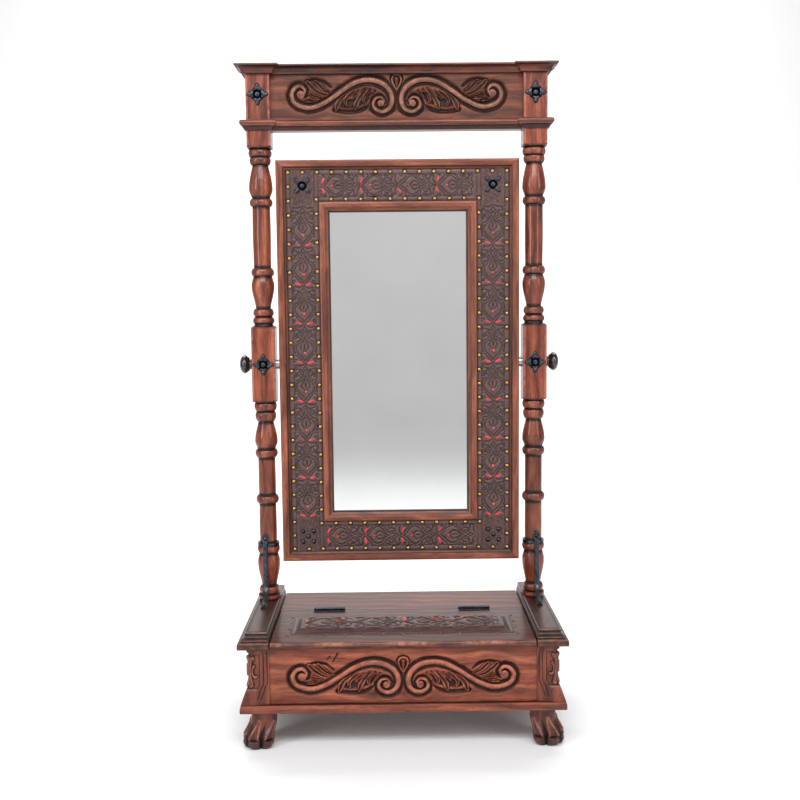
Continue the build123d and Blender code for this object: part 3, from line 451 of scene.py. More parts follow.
def wood(grain, tone=0.5, gloss=0.5, warmth=0.5, seed=0):
    """Stained pine. tone is how light it is, warmth how orange, gloss how shiny, all 0 to 1."""
    key = (grain, tone, gloss, warmth, seed)
    if key in _woods:
        return _woods[key]
    n = Nodes(f"wood_{grain}_{len(_woods)}")
    turn = GRAIN_TURNS[grain]
    shift = (seed * 1.37, seed * 0.71, seed * 2.13)
    base = n.coords((1, 1, 1), turn, shift)
    warp = n.noise(base, 4.0, 2.0)
    bent = n.add("VectorMath", {0: base, 1: n.add("VectorMath", {0: warp, "Scale": 0.05}, operation="SCALE")},
                 operation="ADD")
    along = n.add("Mapping", {0: bent, "Scale": (1.1, 15, 15)})
    rings = n.add("TexWave", {"Vector": along, "Scale": 1.0, "Distortion": 5.0, "Detail": 3.0,
                              "Detail Scale": 1.2, "Detail Roughness": 0.6}, output="Fac",
                  wave_type="BANDS", bands_direction="DIAGONAL")
    streak = n.noise(n.add("Mapping", {0: bent, "Scale": (3.5, 95, 95)}), 1.0, 5.0, 0.62)
    fibre = n.noise(n.add("Mapping", {0: base, "Scale": (14, 520, 520)}), 1.0, 4.0, 0.7)
    pores = n.noise(n.add("Mapping", {0: base, "Scale": (40, 900, 900)}), 1.0, 2.0, 0.5)
    blotch = n.noise(base, 7.0, 4.0, 0.6)
    value = n.math("MULTIPLY_ADD", rings, 0.16, n.math("MULTIPLY_ADD", streak, 0.62, -0.02))
    value = n.math("MULTIPLY_ADD", fibre, 0.26, value)
    value = n.math("ADD", value, (tone - 0.5) * 0.5 - 0.02)
    orange = 0.80 + 0.4 * warmth
    colour = n.ramp(value, [
        (0.20, (0.024, 0.0050, 0.0030)),
        (0.38, (0.105 * orange, 0.0210, 0.0100)),
        (0.54, (0.215 * orange, 0.0510, 0.0230)),
        (0.70, (0.345 * orange, 0.1000 * orange, 0.0480)),
        (0.90, (0.480 * orange, 0.1800 * orange, 0.1000))])
    smudge = n.remap(blotch, 0.30, 0.72, 0.58, 1.12)
    colour = n.shade(colour, smudge)
    pore_dark = n.remap(pores, 0.36, 0.46, 0.55, 0.0)
    colour = n.mix(pore_dark, colour, UMBER_AND_SHADE)
    # The darkening field pulls the wood towards umber: glaze plus painted shade in hollows and creases.
    stain = n.field("stain")
    patch = n.noise(base, 60.0, 3.0, 0.6)
    dark = n.math("MULTIPLY", n.remap(stain, 0.02, 0.60), n.remap(patch, 0.2, 0.6, 0.82, 1.0), clamp=True)
    colour = n.mix(dark, colour, UMBER_AND_SHADE)
    # Below zero the field lightens the wood: wear plus painted highlight on proud edges and rims.
    wear_and_highlight = n.math("MULTIPLY", n.remap(stain, -0.05, -0.35), n.remap(patch, 0.35, 0.65, 0.15, 0.7), clamp=True)
    colour = n.mix(wear_and_highlight, colour, (0.42 * orange, 0.165, 0.105))
    rough = n.math("MULTIPLY_ADD", streak, 0.22, 0.50 - 0.26 * gloss)
    rough = n.math("MULTIPLY_ADD", dark, 0.14, rough)
    height = n.math("MULTIPLY_ADD", fibre, 0.5, n.math("MULTIPLY", streak, 0.7))
    coat = n.remap(dark, 0.0, 1.0, 0.08 + 0.50 * gloss, 0.04 + 0.16 * gloss)
    n.set(n.shader, {"Base Color": colour, "Roughness": rough, "Normal": n.bump(height, 0.35, 0.0012),
                     "IOR": 1.36, "Coat Weight": coat, "Coat Roughness": 0.26 - 0.14 * gloss,
                     "Coat IOR": 1.45})
    _woods[key] = n.material
    return n.material


def leather():
    """Oxblood-brown tooled leather with painted accents. Fields: the darkening field (antiquing and painted shade
    in the hollows; below zero, burnish and painted sheen on proud parts) and paint.
    """
    n = Nodes("tooled_leather")
    base = n.coords((1, 1, 1))
    patch = n.noise(base, 22.0, 5.0, 0.65)
    cloud = n.noise(base, 5.0, 3.0, 0.5)
    colour = n.ramp(patch, [(0.25, (0.022, 0.0062, 0.0050)), (0.50, (0.050, 0.0155, 0.0130)),
                            (0.75, (0.086, 0.0310, 0.0270))])
    tint = n.remap(cloud, 0.3, 0.7, 0.85, 1.15)
    colour = n.shade(colour, tint)
    stain = n.field("stain")
    # Antiquing plus painted shade darkens the hollows.
    colour = n.mix(n.remap(stain, 0.05, 1.0), colour, (0.008, 0.0045, 0.0045))
    # Proud parts are lightened: burnish plus painted sheen.
    proud = n.math("MULTIPLY", n.remap(stain, 0.0, -0.4), 0.38)
    colour = n.mix(proud, colour, (0.170, 0.098, 0.088))
    paint = n.field("paint")
    red = n.ramp(patch, [(0.3, (0.42, 0.006, 0.010)), (0.6, (0.78, 0.020, 0.024))])
    worn_paint = n.math("MULTIPLY", n.remap(paint, 0.35, 0.6), n.remap(patch, 0.25, 0.4, 0.75, 1.0),
                        clamp=True)
    colour = n.mix(worn_paint, colour, red)
    pebble = n.add("TexVoronoi", {"Vector": base, "Scale": 620.0}, feature="SMOOTH_F1")
    crease = n.noise(base, 180.0, 5.0, 0.7)
    height = n.math("MULTIPLY_ADD", crease, 0.6, n.math("MULTIPLY", pebble, 0.8))
    rough = n.math("MULTIPLY_ADD", crease, 0.25, 0.33)
    n.set(n.shader, {"Base Color": colour, "Roughness": rough, "Normal": n.bump(height, 0.5, 0.0008),
                     "IOR": 1.45, "Coat Weight": 0.22, "Coat Roughness": 0.22, "Coat IOR": 1.5})
    return n.material


def metal(name, low, high, rough_low, rough_high, scale, dents, bump=0.4):
    """Metal whose colour and roughness wander between two finishes."""
    n = Nodes(name)
    base = n.coords((1, 1, 1))
    cloud = n.noise(base, scale, 5.0, 0.65)
    grit = n.noise(base, scale * 9, 3.0, 0.6)
    colour = n.ramp(cloud, [(0.3, low), (0.7, high)])
    # Darker where the darkening field is high: painted shade in the rosettes' crevices and low parts, and darker
    # towards the rims of the nail heads.
    colour = n.mix(n.remap(n.field("stain"), 0.1, 0.9), colour, tuple(c * 0.15 for c in low))
    height = n.math("MULTIPLY_ADD", grit, 0.25, cloud)
    n.set(n.shader, {"Base Color": colour, "Metallic": 1.0,
                     "Roughness": n.remap(grit, 0.3, 0.7, rough_low, rough_high),
                     "Normal": n.bump(height, bump, dents)})
    return n.material


def lacquer():
    """Black lacquered wood of the knobs, with faint turning marks and rubbed patches."""
    n = Nodes("black_lacquer")
    base = n.coords((1, 1, 1))
    cloud = n.noise(base, 60.0, 4.0)
    marks = n.noise(n.add("Mapping", {0: base, "Scale": (700, 30, 30)}), 1.0, 3.0)
    colour = n.ramp(cloud, [(0.35, (0.0060, 0.0045, 0.0045)), (0.75, (0.030, 0.018, 0.016))])
    n.set(n.shader, {"Base Color": colour, "Roughness": n.remap(cloud, 0.3, 0.7, 0.18, 0.36),
                     "Normal": n.bump(marks, 0.15, 0.0005), "Coat Weight": 0.7, "Coat Roughness": 0.12})
    return n.material


def silvered():
    """Silvered glass: a clean mirror with a very faint haze."""
    n = Nodes("silvered_glass")
    haze = n.noise(n.coords((1, 1, 1)), 6.0, 3.0)
    colour = n.ramp(haze, [(0.3, (0.86, 0.87, 0.87)), (0.7, (0.90, 0.91, 0.91))])
    n.set(n.shader, {"Base Color": colour, "Metallic": 1.0,
                     "Roughness": n.remap(haze, 0.3, 0.7, 0.004, 0.015)})
    return n.material


def backing():
    """Plain thin plywood of the mirror's back."""
    n = Nodes("back_board")
    base = n.coords((1, 1, 1), GRAIN_TURNS["Z"])
    streak = n.noise(n.add("Mapping", {0: base, "Scale": (2.5, 60, 60)}), 1.0, 5.0, 0.6)
    fibre = n.noise(n.add("Mapping", {0: base, "Scale": (20, 600, 600)}), 1.0, 3.0)
    value = n.math("MULTIPLY_ADD", fibre, 0.3, n.math("MULTIPLY", streak, 0.75))
    colour = n.ramp(value, [(0.3, (0.075, 0.036, 0.020)), (0.55, (0.150, 0.080, 0.045)),
                            (0.8, (0.240, 0.145, 0.085))])
    n.set(n.shader, {"Base Color": colour, "Roughness": n.remap(streak, 0.3, 0.7, 0.55, 0.75),
                     "Normal": n.bump(value, 0.3, 0.0008)})
    return n.material


LEATHER = leather()
IRON = metal("black_iron", (0.016, 0.018, 0.023), (0.085, 0.098, 0.118), 0.22, 0.42, 130.0, 0.0008)
BRASS = metal("antique_brass", (0.30, 0.150, 0.035), (0.66, 0.38, 0.11), 0.18, 0.36, 400.0, 0.0002, 0.2)
STEEL = metal("zinc_steel", (0.40, 0.41, 0.42), (0.62, 0.62, 0.63), 0.25, 0.42, 200.0, 0.0002, 0.2)
LACQUER = lacquer()
GLASS = silvered()
BACKING = backing()

# ================================================================== carved boards
header_low, header_high = node_box("header_board")
HEADER_EYE_Z = 1819.0
CHEST_EYE_Z = 201.0
CHEST_STRETCH = 0.93
HEADER_MARGIN, CHEST_MARGIN = 11.5, 12.5
# Glaze plus painted shade laid over all that is cut, on the header and on the chest.
HEADER_GLAZE_AND_SHADE, CHEST_GLAZE_AND_SHADE = 0.42, 0.34
# Two short cuts left of the chest's scroll: x from the middle, z from the eye.
GOUGES = (((-207, 49), (-200, 57)), ((-192, 42), (-179, 65)))
GOUGE_DEPTH = 3.0


def carving_glaze_and_shade(relief, wall, glaze_and_shade):
    """Darkening of a carved board: glaze and painted shade in the hollows, and a thinner layer of both over all
    that is cut.
    """
    stain = hollow_shade_and_glaze(relief.height, 3, 6.0)
    proud = smooth_step((relief.height + 7.0) / 4.5)
    # The rims of the cut may go below zero: wear plus painted highlight.
    rim_wear_and_highlight = np.clip(stain, -0.34 * wall - 0.05, 1)
    return {"stain": rim_wear_and_highlight + glaze_and_shade * wall * (1 - 0.95 * proud)}


def carve_header(relief):
    return carving_glaze_and_shade(relief, carve_scrolls(relief, HEADER_EYE_Z, 1.0, HEADER_MARGIN), HEADER_GLAZE_AND_SHADE)


def carve_chest(relief):
    wall = carve_scrolls(relief, CHEST_EYE_Z, CHEST_STRETCH, CHEST_MARGIN)
    for points in GOUGES:
        gouge = relief.stroke([(x, CHEST_EYE_Z + z) for x, z in points], (1.6, 3.2), mirrored=False)
        relief.height -= GOUGE_DEPTH * smooth_step(1.4 - gouge[0] / gouge[1])
    return carving_glaze_and_shade(relief, wall, CHEST_GLAZE_AND_SHADE)


# The header's wood is set cooler and greyer than the chest's: painted sheen.
relief_slab("carved_header_board", wood("X", 0.46, 0.50, 0.15, 1), "stand",
            ("header_board",), carve_header)
relief_slab("carved_chest_front", wood("X", 0.62, 0.42, 0.85, 2), "stand",
            ("chest_front_board",), carve_chest)


# ================================================================== mouldings
def mitred_sweep(shape, path, profile, closed=False):
    """Moulding along a plan path of (x, y) points. profile is (outward reach, z, darkening) from the
    bottom up; outward is to the right of the path's direction. The darkening is glaze and painted shade,
    and below zero wear and painted highlight."""
    p = np.asarray(path, float)
    count = len(p)
    rings = []
    for i in range(count):
        normals = []
        if closed or i > 0:
            d = p[i] - p[i - 1]
            normals.append(np.array([d[1], -d[0]]) / np.hypot(*d))
        if closed or i < count - 1:
            d = p[(i + 1) % count] - p[i]
            normals.append(np.array([d[1], -d[0]]) / np.hypot(*d))
        mitre = sum(normals) / (1 + normals[0] @ normals[-1]) if len(normals) == 2 else normals[0]
        rings.append([(*(p[i] + mitre * reach), z) for reach, z, stain in profile])
    rings = np.array(rings)
    stain = np.tile([s for reach, z, s in profile], count)
    shape.add(rings.reshape(-1, 3), grid_faces(count, len(profile), wrap=True), stain=stain)
    size = len(profile)
    start = shape.count - count * size
    if closed:
        for k in range(size):
            a, b = start + (count - 1) * size + k, start + (count - 1) * size + (k + 1) % size
            shape.faces.append([a, b, start + (k + 1) % size, start + k])
    else:
        shape.faces.append([start + k for k in range(size)][::-1])
        shape.faces.append([start + (count - 1) * size + k for k in range(size)])


def arc(cx, cz, rx, rz, start, end, count, stain=0.0):
    """Points of an ellipse arc in (reach, z), angles in degrees."""
    turns = np.radians(np.linspace(start, end, count))
    return [(cx + rx * math.cos(t), cz + rz * math.sin(t), stain) for t in turns]


post_low, post_high = node_box("right_post")
BLOCK_IN, BLOCK_OUT = post_low[0], post_high[0]
BLOCK_FRONT, BLOCK_BACK = post_low[1], post_high[1]
POST_X = (BLOCK_IN + BLOCK_OUT) / 2
POST_Y = (BLOCK_FRONT + BLOCK_BACK) / 2
BLOCK_HALF = (BLOCK_OUT - BLOCK_IN) / 2
BOARD_FACE = header_low[1]
header_path = [(-BLOCK_OUT, BLOCK_BACK), (-BLOCK_OUT, BLOCK_FRONT), (-BLOCK_IN, BLOCK_FRONT),
               (-BLOCK_IN, BOARD_FACE), (BLOCK_IN, BOARD_FACE), (BLOCK_IN, BLOCK_FRONT),
               (BLOCK_OUT, BLOCK_FRONT), (BLOCK_OUT, BLOCK_BACK)]
TOP = cad_high[2] / MM
CROWN_BASE = header_high[2]


def levels(name, plan, moves, profile, material, body, slot, replaced, crease=34):
    """Closed solid from one plan repeated at every point of a profile of (reach, z, darkening). Each plan
    corner shifts by its own move times the reach. The darkening is glaze and painted shade, and below
    zero wear and painted highlight."""
    plan, moves = np.array(plan, float), np.array(moves, float)
    rings = [np.column_stack([plan + moves * reach, np.full(len(plan), z)]) for reach, z, stain in profile]
    stain = np.repeat([s for reach, z, s in profile], len(plan))
    shape = Shape()
    shape.add(rings, capped(len(rings), len(plan)), stain=stain)
    return shape.piece(name, material, body, slot, replaced, crease)


# Third column: painted shade with glaze under the crown and in its crease; below zero on the top edge, painted
# highlight.
crown_profile = [(0, CROWN_BASE, 0.95), (7.5, CROWN_BASE, 0.9), (9, CROWN_BASE + 0.6, 0.3),
                 (9.6, CROWN_BASE + 2, 0)]
crown_profile += [(x, z, 0.05) for x, z, s in arc(23, CROWN_BASE + 4.5, 12.6, 13.5, 190, 108, 7)]
crown_profile += [(21.5, CROWN_BASE + 18.6, 0.7), (23.6, CROWN_BASE + 19.4, 0.2), (26.6, CROWN_BASE + 20, 0),
                  (27.8, CROWN_BASE + 21.2, -0.1), (28, TOP - 1.6, -0.1), (27.4, TOP - 0.3, -0.1),
                  (26.2, TOP, -0.1)]
crown_back = node_box("header_cornice")[1][1]
crown_plan = [(-BLOCK_OUT, crown_back)] + header_path[1:-1] + [(BLOCK_OUT, crown_back)]
crown_moves = [(-1, 0), (-1, -1), (1, -1), (1, -1), (-1, -1), (-1, -1), (1, -1), (1, 0)]
levels("crown_moulding", crown_plan, crown_moves, crown_profile, wood("X", 0.22, 0.62, 0.35, 3), "stand",
       "stained_pine", ("header_cornice",))

BEAD_BASE = header_low[2]
bead = Shape()
# Third column: glaze and painted shade underneath and in the creases against the board; lighter on the rounded
# front.
bead_profile = [(0, BEAD_BASE, 0.5), (4, BEAD_BASE, 0.4), (5.2, BEAD_BASE + 2.5, 0.5)]
bead_profile += [(x, z, 0.5) for x, z, s in arc(13.6, BEAD_BASE + 3.4, 7.6, 8.8, 172, 96, 5)]
bead_profile += [(13.2, BEAD_BASE + 12.6, 0.25)]
bead_profile += [(x, z, 0.0) for x, z, s in arc(10.4, BEAD_BASE + 20.8, 6.6, 8.2, -66, 84, 11)]
bead_profile += [(8, BEAD_BASE + 29.6, 0.0), (1.6, BEAD_BASE + 30, 0.5), (0, BEAD_BASE + 30, 0.9)]
bead_path = [(-BLOCK_OUT, BLOCK_BACK)] + header_path[1:-1] + [(BLOCK_OUT, BLOCK_BACK)]
mitred_sweep(bead, bead_path, bead_profile)
bead.piece("header_bead_moulding", wood("X", 0.55, 0.75, 0.5, 4), "stand", "stained_pine",
           ("header_front_bead", "header_block_beads"), 34)

# ================================================================== turned posts
# Each cut of the lathe is (kind, height, greatest radius, root radius below, root radius above).
LOWER_TURNING = (
    ("bead", 16, 34.0, 31.0, 31.0), ("bead", 25, 30.5, 24.0, 23.0), ("vase", 100, 33.4, 22.5, 27.5),
    ("bead", 24, 33.6, 27.5, 29.0), ("neck", 9, 29.0, 29.0, 29.0), ("neck", 118, 26.0, 25.4, 25.4),
    ("bead", 27, 34.0, 25.4, 25.4), ("neck", 112, 25.8, 25.4, 25.4), ("bead", 26, 33.5, 25.4, 26.8),
    ("vase", 82, 33.6, 26.8, 22.8), ("bead", 31, 31.0, 22.8, 25.8), ("bead", 27, 33.3, 25.8, 28.5))
UPPER_TURNING = (
    ("neck", 7, 27.5, 28.5, 27.5), ("bead", 20, 31.7, 27.5, 24.0), ("bead", 24, 30.2, 24.0, 23.0),
    ("vase", 94, 33.6, 22.0, 27.0), ("bead", 25, 33.5, 27.0, 25.4), ("neck", 177, 26.6, 25.4, 26.0),
    ("bead", 24, 33.6, 26.0, 26.4), ("vase", 96, 34.3, 26.4, 23.2), ("bead", 22, 30.9, 25.0, 27.5),
    ("bead", 23, 34.0, 27.5, 28.5))
BELLY_NEAR_TOP = 0.72
MID_BLOCK = (PIVOT.z - 113.5, PIVOT.z + 113.5)
TOP_BLOCK_BOTTOM = 1666.0
AROUND = 144
SQUARENESS = 26
SHOULDER_TALL = 9.0
SHOULDER_RADIUS, SHOULDER_SPREAD = 31.0, 18.5
UNCUT = 60


def cut_radius(kind, share, widest, below, above):
    """Radius of one lathe cut at a share of its height."""
    root = below + (above - below) * share
    if kind == "bead":
        swell = (1 - np.abs(2 * share - 1) ** 2.1) ** 0.62
        return root + (widest - (below + above) / 2) * swell
    if kind == "neck":
        return root + (widest - (below + above) / 2) * np.sin(np.pi * share)
    belly = BELLY_NEAR_TOP if above > below else 1 - BELLY_NEAR_TOP
    lower = below + (widest - below) * np.sin(np.clip(share / belly, 0, 1) * np.pi / 2) ** 1.5
    upper = above + (widest - above) * np.sin(np.clip((1 - share) / (1 - belly), 0, 1) * np.pi / 2) ** 1.1
    return np.where(share < belly, lower, upper)


def turning(base, cuts, step=1.5):
    """Rings (z, radius, darkening) of a run of lathe cuts; the creases between cuts hold dark glaze and painted
    shade.
    """
    zs, radii, darks = [], [], []
    z = base
    for kind, height, widest, below, above in cuts:
        share = np.linspace(0, 1, max(8, int(height / step)))
        share = 0.5 - 0.5 * np.cos(np.pi * share) if kind == "bead" else share
        zs.append(z + height * share)
        radii.append(cut_radius(kind, share, widest, below, above))
        edge = np.minimum(share, 1 - share) * height
        darks.append(np.exp(-(edge / (3.2 if kind == "bead" else 6.0)) ** 2) * 0.95 - 0.02)
        z += height
    return np.concatenate(zs), np.concatenate(radii), np.concatenate(darks)


def square_rings(bottom, top, shoulder_low, shoulder_high):
    """Rings (z, limiting radius, darkening) of a square block with lathe-rounded shoulders; glaze and painted
    shade darken each shoulder.
    """
    def shoulder(edge, way, shares):
        return [(edge + way * SHOULDER_TALL * t,
                 SHOULDER_RADIUS + SHOULDER_SPREAD * math.sin(t * math.pi / 2), 0.75 - 0.75 * t)
                for t in shares]

    low = shoulder(bottom, 1, np.linspace(0, 1, 9)) if shoulder_low else [(bottom, UNCUT, 0)]
    high = shoulder(top, -1, np.linspace(1, 0, 9)) if shoulder_high else [(top, UNCUT, 0)]
    middle = [(z, UNCUT, 0) for z in np.linspace(low[-1][0] + 3, high[0][0] - 3, 24)]
    rings = np.array(low + middle + high)
    return rings[:, 0], rings[:, 1], rings[:, 2]


def post(side):
    """Turned post with its square blocks, as one stack of rings."""
    name = SIDES[side] + "_post"
    turns = np.linspace(0, 2 * math.pi, AROUND, endpoint=False)
    corners = np.abs(np.cos(turns)) ** SQUARENESS + np.abs(np.sin(turns)) ** SQUARENESS
    square = BLOCK_HALF / corners ** (1 / SQUARENESS)
    base = node_box("right_rail_cap")[1][2]
    runs = [(*turning(base, LOWER_TURNING), False), (*square_rings(*MID_BLOCK, True, True), True),
            (*turning(MID_BLOCK[1], UPPER_TURNING), False),
            (*square_rings(TOP_BLOCK_BOTTOM, CROWN_BASE, True, False), True)]
    rings, shade_and_stain_rows = [], []
    for zs, radii, darks, is_square in runs:
        for z, radius, dark in zip(zs, radii, darks):
            ring = np.minimum(square, radius) if is_square else np.full(AROUND, radius)
            wander = 0.12 * np.sin(turns * 2 + z * 0.05 + side) if not is_square else 0.0
            ring = ring + wander
            rings.append(np.stack([side * POST_X + ring * np.cos(turns), POST_Y + ring * np.sin(turns),
                                   np.full(AROUND, z)], -1))
            edge_wear = np.where((square > BLOCK_HALF * 1.3) & is_square & (radius > 49), -0.28, 0.0)
            shade_and_stain_rows.append(dark + edge_wear)
    rings, shade_and_stain_rows = np.array(rings), np.array(shade_and_stain_rows)
    shape = Shape()
    shape.add(rings, capped(len(rings), AROUND, True), stain=shade_and_stain_rows.ravel())
    shape.piece("turned_" + name, wood("Z", 0.50, 0.78, 0.8, 5 + side), "stand", "turned_pine", (name,), 38)


for side in SIDES:
    post(side)


# ================================================================== mirror frame
def stick_profile_outer():
    """Outer moulding: (distance from the outer edge, y, darkening). The darkening is glaze and painted shade in
    the creases; below zero it is wear and painted highlight on the rounded edges.
    """
    face, back, rebate = FRAME_LOW[1], FRAME_HIGH[1], 8.0
    panel = node_box("mirror_back_panel")[0][1]
    width = LEATHER_LOW[0] - FRAME_LOW[0]
    return [(0, back, 0.0), (0, face + 5, -0.1), (0.7, face + 2.4, -0.15), (2.4, face + 0.7, -0.15),
            (5, face + 0.1, -0.05), (10, face, 0.0), (16, face + 0.2, 0.0), (19, face + 0.7, 0.0),
            (20.2, face + 1.8, 0.2), (20.7, face + 3.4, 0.9), (21.6, face + 3.9, 0.65),
            (24.5, face + 5.6, 0.32), (27.4, face + 7.6, 0.35), (width, face + 9.2, 0.8),
            (width, panel, 0.0), (width - rebate, panel, 0.0), (width - rebate, back, 0.0)]


def stick_profile_inner():
    """Inner moulding round the glass: (distance from the outer edge, y, darkening). The darkening is glaze and
    painted shade in the creases; below zero it is wear and painted highlight on the rounded edges.
    """
    face = INNER_LOW[1]
    panel, glass = node_box("mirror_back_panel")[0][1], node_box("mirror_glass")[0][1]
    return [(0, panel, 0.0), (0, face + 6.5, 0.9), (0.5, face + 4.2, 0.3), (2.4, face + 1.5, -0.15),
            (5.2, face + 0.3, -0.1), (10, face, 0.0), (14.5, face + 0.4, 0.0), (16.5, face + 1.4, 0.05),
            (18, face + 2.6, 0.35), (22, face + 5.2, 0.12), (24.6, face + 6.8, -0.1),
            (25.6, face + 7.6, -0.1), (26, face + 8.8, 0.2), (26, glass, 0.6), (21, glass, 0.0),
            (21, panel, 0.0)]


FRAME_LOW, FRAME_HIGH = node_box("frame_left")[0], node_box("frame_right")[1]
LEATHER_LOW = node_box("leather_border_left")[0]
INNER_LOW, INNER_HIGH = node_box("inner_frame_left")[0], node_box("inner_frame_right")[1]


def mitred_sticks(prefix, low, high, profile, node_prefix, tone, seed):
    """Four mitred sticks round the rectangle from low to high."""
    corners = np.array([(low[0], low[2]), (high[0], low[2]), (high[0], high[2]), (low[0], high[2])])
    for k, name in enumerate(("bottom", "right", "top", "left")):
        a, b = corners[k], corners[(k + 1) % 4]
        along = (b - a) / np.hypot(*(b - a))
        inward = np.array([-along[1], along[0]])
        rings = []
        for share in np.linspace(0, 1, 40):
            ring = []
            for w, y, stain in profile:
                run_start, run_end = a + (along + inward) * w, b + (inward - along) * w
                x, z = run_start + (run_end - run_start) * share
                ring.append((x, y, z))
            rings.append(ring)
        rings = np.array(rings)
        stain = np.tile([s for w, y, s in profile], len(rings))
        shape = Shape()
        shape.add(rings, capped(len(rings), len(profile)), stain=stain)
        look = wood("X" if name in ("bottom", "top") else "Z", tone, 0.45, 0.35, seed + k)
        shape.piece(prefix + "_" + name, look, "mirror", "stained_pine", (node_prefix + "_" + name,), 30)


mitred_sticks("outer_moulding", FRAME_LOW, FRAME_HIGH, stick_profile_outer(), "frame", 0.68, 11)
mitred_sticks("inner_moulding", INNER_LOW, INNER_HIGH, stick_profile_inner(), "inner_frame", 0.66, 15)

# ================================================================== tooled leather
MOTIF_PITCH = 116.0
MOTIF_HALF = 47.0
# One repeat of the tooling, right half: (stroke, half widths). x across the strip, z along it.
VINES = (
    (((0, 2), (10, 16), (24, 30), (30, 46), (22, 62), (8, 72), (0, 88)), (1.9, 1.6, 1.6, 1.9)),
    (((22, 62), (33, 66), (40, 77), (35, 87), (27, 84), (28, 77)), (1.8, 1.6, 1.4, 1.0)),
    (((24, 30), (35, 27), (40, 17), (35, 8), (28, 12)), (1.8, 1.6, 1.4, 1.0)),
    (((0, 88), (10, 100), (24, 103), (34, 97)), (1.8, 1.6, 1.3, 0.9)),
)
PETALS = (
    (((2, -3), (9, -10), (18, -12), (27, -7)), (1.2, 3.8, 4.2, 0.9)),
    (((0, 40), (6, 52), (0, 66)), (1.0, 4.6, 0.9)),
    (((10, 76), (17, 84), (16, 93)), (1.0, 3.0, 0.9)),
)
PAINTED = (
    (((6, 2.5), (12, 5.0), (18, 6.0), (24, 9.0)), (1.2, 2.6, 2.8, 0.8)),
    (((0, 29), (0, 32), (0, 36)), (0.6, 1.8, 2.4)),
)


def leather_tile():
    """Heights and paint of one repeat of the tooling, 1 mm apart."""
    across = np.arange(-MOTIF_HALF, MOTIF_HALF + 1)
    along = np.arange(0, MOTIF_PITCH)
    tile = Relief(across, along)
    paint = np.zeros_like(tile.height)

    def near(points, widths):
        flipped = [(-abs(x) if x else 0.0, z) for x, z in points]
        copies = [tile.stroke([(x, z + shift) for x, z in flipped], widths, per_span=6)
                  for shift in (-MOTIF_PITCH, 0, MOTIF_PITCH)]
        reach = np.min([d / w for d, w, *_ in copies], axis=0)
        gap = np.min([d - w for d, w, *_ in copies], axis=0)
        return reach, gap

    shapes = [near(points, widths) for points, widths in VINES]
    petals = [near(points, widths) for points, widths in PETALS]
    outline = np.min([gap for reach, gap in shapes + petals], axis=0)
    ground = -1.9 * smooth_step((6.5 - outline) / 4.5)
    tile.height = ground - 0.5 * np.exp(-((outline - 0.9) / 0.9) ** 2)
    for reach, gap in shapes:
        tile.raise_to(np.where(reach < 1, 0.85 * np.sqrt(np.clip(1 - reach ** 2, 0, 1)), -9))
    for reach, gap in petals:
        vein = 0.5 * np.exp(-(reach / 0.16) ** 2)
        tile.raise_to(np.where(reach < 1, 0.95 * np.clip(1 - reach ** 2.5, 0, 1) ** 0.5 - vein, -9))
    for points, widths in PAINTED:
        reach, gap = near(points, widths)
        paint = np.maximum(paint, smooth_step((0.4 - gap) / 0.9))
    return tile.height, paint


TILE_HEIGHT, TILE_PAINT = leather_tile()


def sample_tile(tile, across, along):
    """Bilinear value of the repeating tile."""
    rows, cols = tile.shape
    u = np.clip(across + MOTIF_HALF, 0, cols - 1.001)
    v = np.mod(along, MOTIF_PITCH)
    i, j = np.floor(v).astype(int), np.floor(u).astype(int)
    fv, fu = v - i, u - j
    nxt = (i + 1) % rows
    low = tile[i % rows, j] * (1 - fu) + tile[i % rows, j + 1] * fu
    high = tile[nxt, j] * (1 - fu) + tile[nxt, j + 1] * fu
    return low * (1 - fv) + high * fv


def tooled(across, along, run, ends, seed, scale=1.0):
    """Height and paint of a tooled strip. run is its length, ends the plain length at each end."""
    pitch_count = max(1, round((run - 2 * ends) / (MOTIF_PITCH * scale)))
    stretch = (run - 2 * ends) / (pitch_count * MOTIF_PITCH)
    bend_a = across / scale + 2.4 * ripple(across, along, 52, seed)
    bend_b = (along - ends) / stretch + 3.0 * ripple(across, along, 64, seed + 4)
    fade = smooth_step((along - ends + 3) / 6) * smooth_step((run - ends + 3 - along) / 6)
    height = sample_tile(TILE_HEIGHT, bend_a, bend_b) * fade
    strength = 0.72 + 0.5 * ripple(np.floor(bend_b / MOTIF_PITCH) * 37.0 + seed * 9, across * 0.2, 40, seed)
    paint = sample_tile(TILE_PAINT, bend_a, bend_b) * fade * np.clip(strength, 0.3, 1)
    height = height + 0.42 * ripple(across * 1.3, along, 15, seed + 1)
    return height + 0.24 * ripple(across, along * 1.7, 7, seed + 2), paint


tack_boxes = islands("border_tacks")
TACKS = np.array([((low[0] + high[0]) / 2, (low[2] + high[2]) / 2) for low, high in tack_boxes])
TACK_RADIUS = (tack_boxes[0][1][0] - tack_boxes[0][0][0]) / 2
LEATHER_FACE = LEATHER_LOW[1]
TACK_INSET = 6.5
EDGE_BAND = 13.0
GROOVE_INSET = 13.4
UPRIGHT_PLAIN, LEVEL_PLAIN = 104.0, 8.0
DIMPLE_REACH = 16


